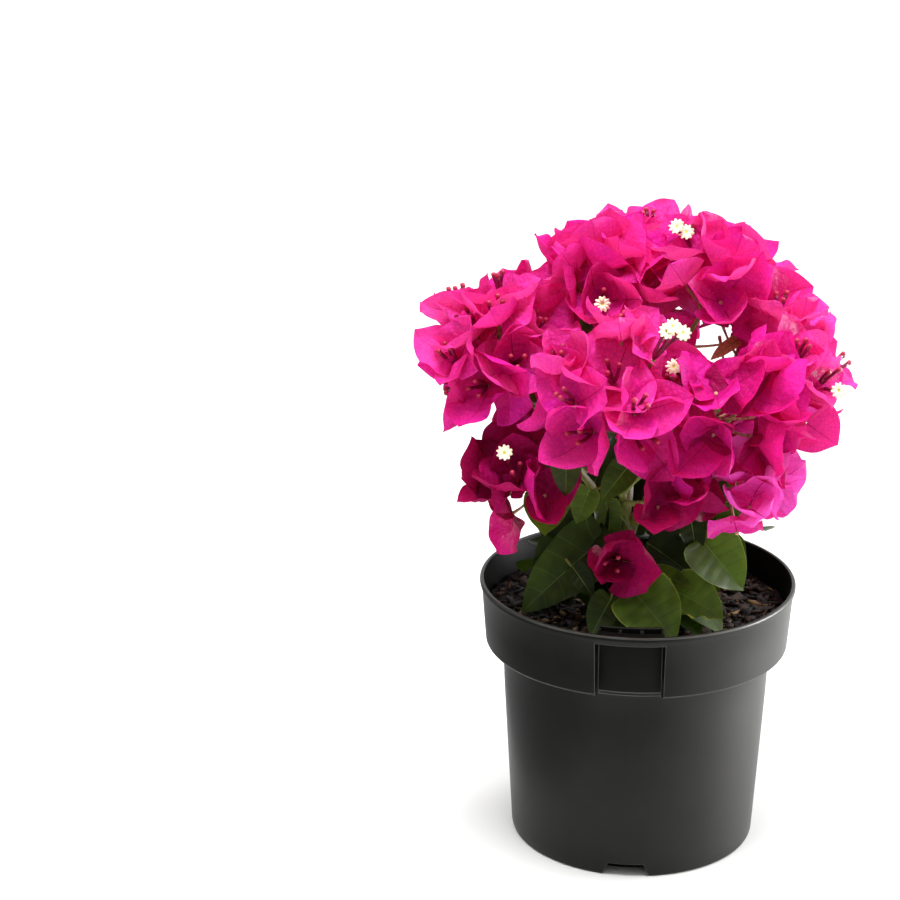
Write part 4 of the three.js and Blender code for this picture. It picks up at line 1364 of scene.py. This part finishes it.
LEAF_SHEET = {**PLAIN_SHEET, "outline": LEAF_OUTLINE, "relief": LEAF_RELIEF, "crease": LEAF_CREASE}
FRONT_BELLY = -0.1
FRONT_CURL = 0.03
FRONT_LEAF_RUN = 60
BITTEN_LEAF = 2
BITE = 0.42
print("front leaves:", len(FRONT_LEAVES))

# %% Place the front leaves
def front_leaf(foot, foot_depth, tip, tip_depth, shape, seed):
    start, end = place_at(foot, foot_depth), place_at(tip, tip_depth)
    aim = between(start, end)
    seen = unit(CAMERA_PLACE - start) + 0.5 * UP
    face = unit(seen - (seen @ aim) * aim)
    length = np.linalg.norm(end - start)
    rand = seeded(FRONT_LEAF_RUN, seed)
    return {
        **LEAF_SHEET,
        "root": start,
        "aim": aim,
        "side": np.cross(aim, face),
        "face": face,
        "length": length,
        "width": length * shape,
        "belly": FRONT_BELLY,
        "cup": drawn(rand, LEAF_CUP),
        "curl": FRONT_CURL,
        "wave": drawn(rand, LEAF_WAVE),
        "phase": FULL_TURN * rand(),
    }


front_leaves = []
for number, (*places, shape, shade) in enumerate(FRONT_LEAVES):
    leaf = front_leaf(*places, shape, number)
    leaf["bite"] = BITE if number == BITTEN_LEAF else 0.0
    front_leaves.append((leaf, shade))
    spots = sheet_points(leaf, CHECK_ALONG, CHECK_SIDE)
    taken[cells_of(spots)] = FRONT_LEAF_MARK + number
    middle = leaf["root"] + 0.5 * leaf["length"] * leaf["aim"]
    in_view.append((pixel_of(middle), middle, LEAF_ROOM, FRONT_LEAF_MARK + number))
    print("front leaf", number, "is", round(float(leaf["length"])), "mm long, from", leaf["root"].round())


# %% Grow the bracts
MOST_COST = 120
SHADE_SPREAD = 2.2
bract_piles = [Pile(), Pile(), Pile()]
costs = []
for head in heads:
    number, k = head["keys"]
    _, _, centre, reach, *_ = MASSES[head["mass"]]
    shade_rand = seeded(number, k, SHADE_RUN)
    shade = shade_of(head, shade_rand)
    pile = bract_piles[0 if head["mass"].startswith("back") else 1 + number % 2]
    for n in range(3):
        bract_rand = seeded(number, k, n)
        turn = head["turn"] + (n + 0.5) * THIRD_TURN
        sheet, cost = least_crowded(
            DRAWS,
            lambda late: draw_bract(head, bract_rand, turn, head["size"] * mix(1, LEAST_SIZE, late)),
            head["group"],
            spot_of(*centre),
            reach,
            MOST_COST,
        )
        costs.append(cost)
        if sheet is None:
            continue
        head["bracts"] += 1
        sheet["flick"] = drawn(shade_rand, BRACT_FLICK)
        sheet["twist"] = drawn(shade_rand, BRACT_TWIST)
        own_shade = shade + round(SHADE_SPREAD * (shade_rand() - 0.5))
        own_shade = int(np.clip(own_shade, 0, max(shade, len(SHADES) - 2)))
        # A bract's foot is one shade deeper: partly its own deeper base, partly painted shade in the whorl
        foot_tone_and_painted_shade = max(own_shade - 1, 0)
        slots = [own_shade, len(SHADES) + own_shade, MIDRIB_SLOT, own_shade, foot_tone_and_painted_shade]
        add_sheet(pile, BRACT_GRID, sheet, slots)
missed = sum(cost > MOST_COST for cost in costs)
print("the middle bract costs", round(float(np.median(costs)), 1), "and", missed, "found no room")

for label, pile in zip(("back", "left", "right"), bract_piles):
    made = object_from(f"bracts_{label}", pile, [*BLADES, *SIDE_VEINS, BRACT_MIDRIB])
    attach(made, "root")


# %% [markdown]
# ## Twigs
# A twig leaves its mass's stem at a slant and bends up to its flower group, and swells a little at its end.
# Young flower shoots of this plant are coppery and older ones green, so two materials are dealt out.

# %% Twigs
twig_pile = Pile()
TWIG_WIDTHS = [1.1, 0.85, 0.85, 1.3]
MASS_STEM_WIDTHS = [BOUGH_TIP_RADIUS, 1.1]
THICK_SIDES = 8
BEND_OUT = 0.35
TWIG_SAG = 0.1
RING_STEP = 2.5
COPPERY_SHARE = 0.45


def bent(start, end, lift):
    """Handles of a twig that leaves at a slant and bends to its end."""
    way = end - start
    side = across(unit(way))
    return start, start + way / 3 - UP * lift + side * lift * BEND_OUT, end - way / 3 - UP * lift, end


def add_twig(pile, handles, radii, slot, sides=7):
    length = np.linalg.norm(handles[3] - handles[0])
    rings = max(int(length / RING_STEP), 5)
    shares = np.linspace(0, 1, rings)
    widths = np.interp(shares, np.linspace(0, 1, len(radii)), radii)
    add_tube(pile, bezier(handles, shares), widths, slot, sides)


for name, (_, _, centre, *_) in MASSES.items():
    start, end = mass_stem(name, centre)
    add_twig(twig_pile, bent(start, end, 1.0), MASS_STEM_WIDTHS, 0, THICK_SIDES)
for head in heads:
    length = np.linalg.norm(head["foot"] - head["leave"])
    handles = bent(head["leave"], head["foot"], TWIG_SAG * length)
    slot = 1 if seeded(*head["keys"], SHOOT_RUN)() < COPPERY_SHARE else 0
    add_twig(twig_pile, handles, TWIG_WIDTHS, slot)
print("twigs so far:", len(MASSES) + len(heads))

# %% [markdown]
# ## True flowers
# In each group three slim tubes stand between the bracts. They are crimson with five ribs, a narrow waist and
# a salmon swelling at the tip, which is the closed bud. In a few groups the buds are open: a cream star of
# five notched lobes, about eleven millimetres across, with a yellow eye. In half of the groups the flowers
# have dropped, as they do long before the bracts. A lathe would give the tubes, but ribs and bends come more
# easily from rings of corners along a line.

# %% Flower materials
def petal_material(name, low, high, roughness):
    return grained(name, low, high, roughness, 3, 1.2, 0.08, ior=1.42)[0]


FLOWERS = [
    petal_material("flower_tube_crimson", "#6a0834", "#8c1044", 0.5),
    petal_material("flower_bud_salmon", "#9c1844", "#bc3450", 0.5),
    petal_material("flower_star_cream", "#f6efc4", "#fffbe2", 0.5),
    petal_material("flower_eye_yellow", "#c8be4c", "#e0d66c", 0.5),
]
TUBE, BUD, STAR, EYE = range(4)
print("materials:", [material.name for material in FLOWERS])

# %% Tubes and buds
TUBE_RADIUS = 1.2
TUBE_SPREAD = [math.radians(8), math.radians(20)]
TUBE_RIBS = 5
TUBE_SIDES = 10
TUBE_BEND = 1.4
RIB_RISE = 0.09
FALLEN_FLOWERS = 0.5
STAR_RADIUS = 5.3
STAR_SPOKES = 60
STAR_RAISE = 0.7
EYE_RAISE = 0.2
MOST_LEAN = math.radians(38)
OPEN_LENGTHS = (15, 24)
TO_CAMERA = 1.8
TUBE_PROFILE = [(0, 0.5), (0.1, 1.0), (0.25, 1.2), (0.4, 1.0), (0.52, 0.84), (0.7, 0.95), (0.84, 1.1)]
BUD_PROFILE = [(0.84, 1.1), (0.89, 1.22), (0.94, 1.24), (0.975, 1.0), (0.994, 0.55), (1, 0.1)]
OPEN_PROFILE = [(0.84, 1.1), (0.93, 1.15), (1, 1.3)]


def ribbed(k, turns):
    return 1 + RIB_RISE * np.cos(TUBE_RIBS * turns)


def add_flower(pile, foot, aim, length, is_open, turn, facing):
    """A tube and its bud, or its open star. Facing is a lean of the star, or None."""
    sway = tilted(aim, math.pi / 2, turn)
    slots = [(TUBE_PROFILE, TUBE), (OPEN_PROFILE, TUBE) if is_open else (BUD_PROFILE, BUD)]
    for profile, slot in slots:
        shares = np.array([share for share, _ in profile])
        radii = TUBE_RADIUS * np.array([radius for _, radius in profile])
        bend = TUBE_BEND * np.sin(math.pi * shares * 0.9)
        points = foot + np.outer(shares * length, aim) + np.outer(bend, sway)
        add_tube(pile, points, radii, slot, TUBE_SIDES, ribbed)
    if is_open:
        axis = unit(points[-1] - points[-2])
        axis = axis if facing is None else unit(axis + facing)
        add_star(pile, points[-1] + STAR_RAISE * axis, axis, turn)


# %% Open stars
def add_star(pile, middle, axis, turn):
    """Five lobes, each notched so deep that ten points show, waved and bent back a little, round an eye."""
    angles = np.arange(STAR_SPOKES) * FULL_TURN / STAR_SPOKES
    point = 0.5 + 0.5 * np.cos(10 * angles)
    between_lobes = 0.5 - 0.5 * np.cos(5 * angles + math.pi / 2)
    outline = STAR_RADIUS * (0.76 + 0.24 * point**0.8 - 0.08 * between_lobes)
    rings = [(0.1, 0.25, EYE), (0.28, 0.5, EYE), (0.42, 1.0, STAR), (0.75, 1.15, STAR), (1, 0.7, STAR)]
    side = tilted(axis, math.pi / 2, turn)
    front = np.cross(axis, side)
    corners, slots = [], []
    for share, height, slot in rings:
        inner = STAR_RADIUS * 0.62
        radius = mix(inner, outline, share**1.5) * share
        wave = 0.55 * share**3 * np.sin(10 * angles + 0.6)
        ring = np.outer(radius * np.cos(angles), side) + np.outer(radius * np.sin(angles), front)
        corners.append(middle + ring + np.outer(height + wave, axis))
        slots.append(slot)
    faces = grid_faces(len(rings), STAR_SPOKES, wrap=True)
    pile.add(np.concatenate(corners), np.repeat(slots[1:], STAR_SPOKES), faces)
    eye = np.concatenate([[middle + EYE_RAISE * axis], corners[0]])
    pile.add(eye, EYE, cap_faces(0, 1, STAR_SPOKES))


# %% Flowers in their groups
flower_pile = Pile()
for head in heads:
    fallen = seeded(*head["keys"], FALLEN_RUN)() < FALLEN_FLOWERS or head["bracts"] < 2
    if fallen and not head["tips"] and head["mass"] != "low_front":
        continue
    tips = list(head["tips"])
    for n in range(3):
        spread = drawn(head["rand"], TUBE_SPREAD)
        length = TUBE_LENGTH * drawn(head["rand"], LENGTHS)
        aim = tilted(head["axis"], spread, head["turn"] + n * THIRD_TURN)
        is_open = n < head["open"]
        facing = None
        if tips:
            way = tips.pop() - head["foot"]
            lean = min(math.acos(np.clip(unit(way) @ head["axis"], -1, 1)), MOST_LEAN)
            aside = way - (way @ head["axis"]) * head["axis"]
            aim = math.cos(lean) * head["axis"] + math.sin(lean) * unit(aside)
            length = float(np.clip(np.linalg.norm(way), *OPEN_LENGTHS))
            is_open = True
            facing = TO_CAMERA * between(head["foot"], CAMERA_PLACE)
        turn = FULL_TURN * n / 3 + head["turn"]
        add_flower(flower_pile, head["foot"], aim, length, is_open, turn, facing)
print("true flowers:", flower_pile.triangles(), "triangles")

# %% [markdown]
# ## Leaves
# The leaves are heart-shaped with a drawn-out point, firm and half glossy, with a pale midrib and a thin
# yellow-green rim. They sit singly on short stalks round the masses low on the plant and hang outwards. The
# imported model's rule places them, and smaller young leaves are added at the flower shoots. The bitten leaf
# has dried to yellow along its bite, so a few faces at its edge have a slot of their own.

# %% Leaf materials
LIGHT_THROUGH_LEAF = 0.22


def leaf_material(name, low, high, through, roughness=0.46):
    """A firm leaf: two greens, a cuticle's soft gloss, and yellow-green light coming through."""
    material, shader = grained(name, low, high, roughness, 9, 1.8, 0.06, ior=1.45, edges=(0.38, 0.66))
    shader.inputs["Specular IOR Level"].default_value = 0.24
    let_light_through(material, shader, through, LIGHT_THROUGH_LEAF)
    return material


LEAVES = [
    leaf_material("leaf_dark_green", "#1c260e", "#2a3713", "#4c6a18"),
    leaf_material("leaf_mid_green", "#2a3a12", "#3a4e18", "#628020"),
    leaf_material("leaf_light_green", "#40561a", "#547022", "#88a62e"),
    leaf_material("leaf_young_coppery", "#b4785a", "#cc9670", "#e8a070"),
]
LEAF_MIDRIB = leaf_material("leaf_midrib_pale", "#627a3c", "#748c48", "#8ca84c", 0.45)
LEAF_VEIN = leaf_material("leaf_side_vein", "#394f20", "#465f28", "#6c8a34", 0.45)
LEAF_RIM = leaf_material("leaf_rim_yellow_green", "#6f8430", "#8a9c3c", "#a0b44c", 0.45)
LEAF_DRIED = leaf_material("leaf_dried_edge", "#8f9a34", "#c2b84a", "#d0c050", 0.6)
LEAF_MATERIALS = [*LEAVES, LEAF_MIDRIB, LEAF_VEIN, LEAF_RIM, LEAF_DRIED]
DARK, MID, LIGHT, COPPERY, MIDRIB_GREEN, VEIN_GREEN, RIM_GREEN, DRIED = range(len(LEAF_MATERIALS))
print("materials:", [material.name for material in LEAF_MATERIALS])


def leaf_slots(shade):
    """Slots of a leaf's blade, side veins, midrib, rim and foot. The darkest leaves have no paler side
    veins, and only the light and coppery ones have a paler rim."""
    vein = shade if shade == DARK else VEIN_GREEN
    rim = shade if shade < LIGHT else RIM_GREEN
    return [shade, vein, MIDRIB_GREEN, rim, shade]


# %% Leaf shapes
LEAF_LENGTH = 58
LEAF_SHAPE = 0.82
LEAF_OPEN = [math.radians(40), math.radians(100)]
LEAF_SWAY = [-0.6, 0.6]
LEAF_DROOP = [0, 0.8]
LEAF_CURL = [0.02, 0.22]
LEAF_PLACES = [0.3, 0.97]
LEAF_RUN = 50
PETIOLE = 9
PETIOLE_SUNK = 2
PETIOLE_WIDTHS = [1.0, 0.75, 0.6]
FINER_LEAVES = 6
FINER_LEAF_SIZE = (0.6, 0.85)
LEAST_LEAF_SIZE = 0.8
LEAF_DRAWS = 36
LEAF_MOST_COST = 40
LEAF_SIZE_RUN = 3
GREEN_RUN = 5
SHOOT_GREENS = [MID, MID, LIGHT, DARK]
LOW_GREENS = [DARK, DARK, MID, MID, LIGHT]


def draw_leaf(leave, out, rand, size):
    aim = unit(out - UP * drawn(rand, LEAF_DROOP))
    side = unit(np.cross(aim, UP))
    length = LEAF_LENGTH * size * drawn(rand, LENGTHS)
    return {
        **LEAF_SHEET,
        "root": leave + out * PETIOLE,
        "aim": aim,
        "side": side,
        "face": np.cross(side, aim),
        "length": length,
        "width": length * LEAF_SHAPE * drawn(rand, WIDTHS),
        "cup": drawn(rand, LEAF_CUP),
        "curl": drawn(rand, LEAF_CURL),
        "wave": drawn(rand, LEAF_WAVE),
        "phase": FULL_TURN * rand(),
    }


# %% Growing leaves
leaf_pile = Pile()
leaf_stems = {}


def grow_leaves(number, stem, centre, reach, own, finer, shades):
    """Leaves round one stem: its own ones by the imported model's rule, then finer ones between them."""
    stem_aim = between(*stem)
    in_crown = number < len(MASSES)
    turn = FULL_TURN * seeded(number, LEAF_RUN)()
    for k in range(own + finer):
        rand = seeded(number, LEAF_RUN, k)
        place = (k + 0.5) / own if k < own else (k - own + 0.25) / finer
        leave = stem[0] + (stem[1] - stem[0]) * mix(LEAF_PLACES[0], LEAF_PLACES[1], place)
        scale = 1 if k < own else drawn(seeded(number, LEAF_RUN, k, LEAF_SIZE_RUN), FINER_LEAF_SIZE)

        def draw(late):
            round_ = turn + k * GOLDEN_TURN + drawn(rand, LEAF_SWAY)
            out = tilted(stem_aim, drawn(rand, LEAF_OPEN), round_)
            return draw_leaf(leave, out, rand, scale * mix(1, LEAST_LEAF_SIZE, late))

        group = LEAF_MARK + number * 20 + k
        home = (group, spot_of(*centre), reach)
        sheet, _ = least_crowded(LEAF_DRAWS, draw, *home, LEAF_MOST_COST, in_crown)
        if sheet is None:
            continue
        pick = seeded(number, LEAF_RUN, k, GREEN_RUN)()
        shade = shades[int(pick * len(shades))]
        add_sheet(leaf_pile, LEAF_GRID, sheet, leaf_slots(shade))
        into = sheet["root"] + PETIOLE_SUNK * sheet["aim"]
        add_twig(twig_pile, bent(leave, into, 0.6), PETIOLE_WIDTHS, 0)


# %% Leaves round the stems
# The photograph shows no leaf before these masses
LEAFLESS = ["middle_left", "middle_right"]
for number, (name, (_, _, centre, reach, _, _, own, _)) in enumerate(MASSES.items()):
    if own and name not in LEAFLESS:
        grow_leaves(number, mass_stem(name, centre), centre, reach, own, 1, SHOOT_GREENS)
for number, (name, (share, centre, reach, own)) in enumerate(LEAF_MASSES.items(), len(MASSES)):
    root = bezier(limbs["main_stem"]["handles"], [share])[0]
    aim = between(root, spot_of(*centre))
    start = root + aim * (stem_radius(share) + CLEAR + BOUGH_TIP_RADIUS)
    stem = (start, spot_of(*centre))
    leaf_stems[name] = stem
    grow_leaves(number, stem, centre, reach, own, FINER_LEAVES, LOW_GREENS)
    foot = stem[0] - aim * BOUGH_TIP_RADIUS
    add_twig(twig_pile, bent(foot, stem[1], 0.8), [1.6, 1.1], 0, THICK_SIDES)
print(len(leaf_pile.points), "leaves grew by the rule")

# %% Front leaves and their stalks
FRONT_STALK_WIDTHS = [1.2, 0.85, 0.7]
BACKWARD = 0.2
wood = [bezier(limb["handles"], np.linspace(0.05, 0.95, 60)) for limb in limbs.values()]
wood += [mix(start, end, np.linspace(0, 1, 30)[:, None]) for start, end in leaf_stems.values()]
wood = np.concatenate(wood)
for leaf, shade in front_leaves:
    add_sheet(leaf_pile, LEAF_GRID, leaf, leaf_slots(shade))
    if leaf["bite"]:
        rows_of_slots = np.array(leaf_pile.slots[-1]).reshape(-1, 2 * len(SIDE_STEPS) + 1)
        rows_of_slots[len(rows_of_slots) // 2 :, -2:] = DRIED
        leaf_pile.slots[-1] = rows_of_slots.ravel()
    way = wood - leaf["root"]
    off = np.linalg.norm(way, axis=1)
    behind = np.maximum(way @ leaf["aim"] / off + BACKWARD, 0)
    start = wood[np.argmin(off * (1 + 2 * behind))]
    into = leaf["root"] + PETIOLE_SUNK * leaf["aim"]
    add_twig(twig_pile, bent(start, into, 1.5), FRONT_STALK_WIDTHS, 1 if shade == COPPERY else 0)


# %% Joined pieces of the crown
twigs = object_from("twigs_and_petioles", twig_pile, [GREEN_BARK, COPPER_SHOOT])
flowers = object_from("true_flowers", flower_pile, FLOWERS)
leaves = object_from("leaves", leaf_pile, LEAF_MATERIALS)
for piece, slot in ((twigs, "green_wood"), (flowers, "bracts"), (leaves, "leaves")):
    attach(piece, "root")
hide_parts(*LEAF_MASSES)
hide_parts(*[f"flowers_{name}" for name in MASSES])

# %% [markdown]
# ## Floor, light and surroundings
# The plant stands on a pale floor in a white room. The light is broad and soft: large lights stand behind the
# plant, above it and to its right, which is what lights the pot's right side and shines through the bracts.
# The pot's satin side mirrors what is round it. So one more light adds only shine, for the pale streak down
# its right, and three dark cards that only reflections see keep its other sides dark.

# %% Lights
def area_light(name, place, aim, size, power):
    light = bpy.data.lights.new(name, "AREA")
    light.shape = "DISK"
    light.size = size
    light.energy = power
    made = bpy.data.objects.new(name, light)
    made.location = place
    made.rotation_euler = (Vector(aim) - Vector(place)).to_track_quat("-Z", "Y").to_euler()
    bpy.context.scene.collection.objects.link(made)
    return made


area_light("key_right_behind", (1.5, 0.5, 1.5), (0, 0, 0.3), 1.8, 24)
area_light("fill_front_left", (-0.8, -1.8, 2.0), (0, 0, 0.3), 1.6, 6)
area_light("top", (-0.2, -0.4, 2.2), (0, 0, 0.3), 0.8, 45)
streak = area_light("right_side", (1.6, 0.05, 0.14), (0, 0, 0.05), 0.6, 190)
streak.visible_diffuse = False
streak.visible_transmission = False
print("lights:", len(bpy.data.lights))

# %% Floor and dark cards
FLOOR_HALF = 12.0
CARD_HEIGHT = 0.002


def flat_sheet(name, corners, material):
    """One face between four corners."""
    mesh = bpy.data.meshes.new(name)
    mesh.from_pydata(corners, [], [(0, 1, 2, 3)])
    mesh.materials.append(material)
    made = bpy.data.objects.new(name, mesh)
    bpy.context.scene.collection.objects.link(made)
    return made


def lying(left, right, near, far, height):
    """Corners of a level sheet."""
    return [(left, near, height), (right, near, height), (right, far, height), (left, far, height)]


floor_paint, _ = grained("floor_matt_white", "#e9e9e7", "#edeeec", 0.8, 300, 40, 0.02)
floor = flat_sheet("floor", lying(-FLOOR_HALF, FLOOR_HALF, -FLOOR_HALF, FLOOR_HALF, 0), floor_paint)

# The cards throw no shade and show in no view
left_card = [(-0.33, -0.4, 0), (-0.33, 0.5, 0), (-0.33, 0.5, 0.45), (-0.33, -0.4, 0.45)]
CARDS = {
    "black_card_left": (left_card, "#050505"),
    "black_card_front": (lying(-1.2, 0.2, -1.4, -0.26, CARD_HEIGHT), "#050505"),
    "grey_card_behind_left": (lying(-1.2, -0.14, -0.26, 0.9, CARD_HEIGHT), "#979797"),
}
for name, (corners, colour) in CARDS.items():
    paint, _ = new_material(name, colour, 0.9)
    card = flat_sheet(name, corners, paint)
    card.visible_camera = False
    card.visible_diffuse = False
    card.visible_transmission = False
    card.visible_shadow = False


# %% White room
BRIGHT_SIDE = spot_of(0.35, 0.8, 0.45)
DIMMEST = 0.22
BRIGHTEST = 1.7

world = bpy.data.worlds.new("white_room")
bpy.context.scene.world = world
world.use_nodes = True
background = world.node_tree.nodes["Background"]
background.inputs["Color"].default_value = (1, 1, 1, 1)
sight = add_node(world, "ShaderNodeTexCoord").outputs["Generated"]
toward = add_node(world, "ShaderNodeVectorMath", [(sight, 0)], operation="DOT_PRODUCT")
toward.inputs[1].default_value = unit(BRIGHT_SIDE)
aside = (toward.outputs["Value"], "Value")
level = add_node(world, "ShaderNodeMapRange", [aside], From_Min=-0.35, From_Max=0.7)
level.inputs["To Min"].default_value = DIMMEST
level.inputs["To Max"].default_value = BRIGHTEST
world.node_tree.links.new(level.outputs["Result"], background.inputs["Strength"])
print("the room's light goes from", DIMMEST, "to", BRIGHTEST)
bpy.context.scene.view_settings.view_transform = "Standard"
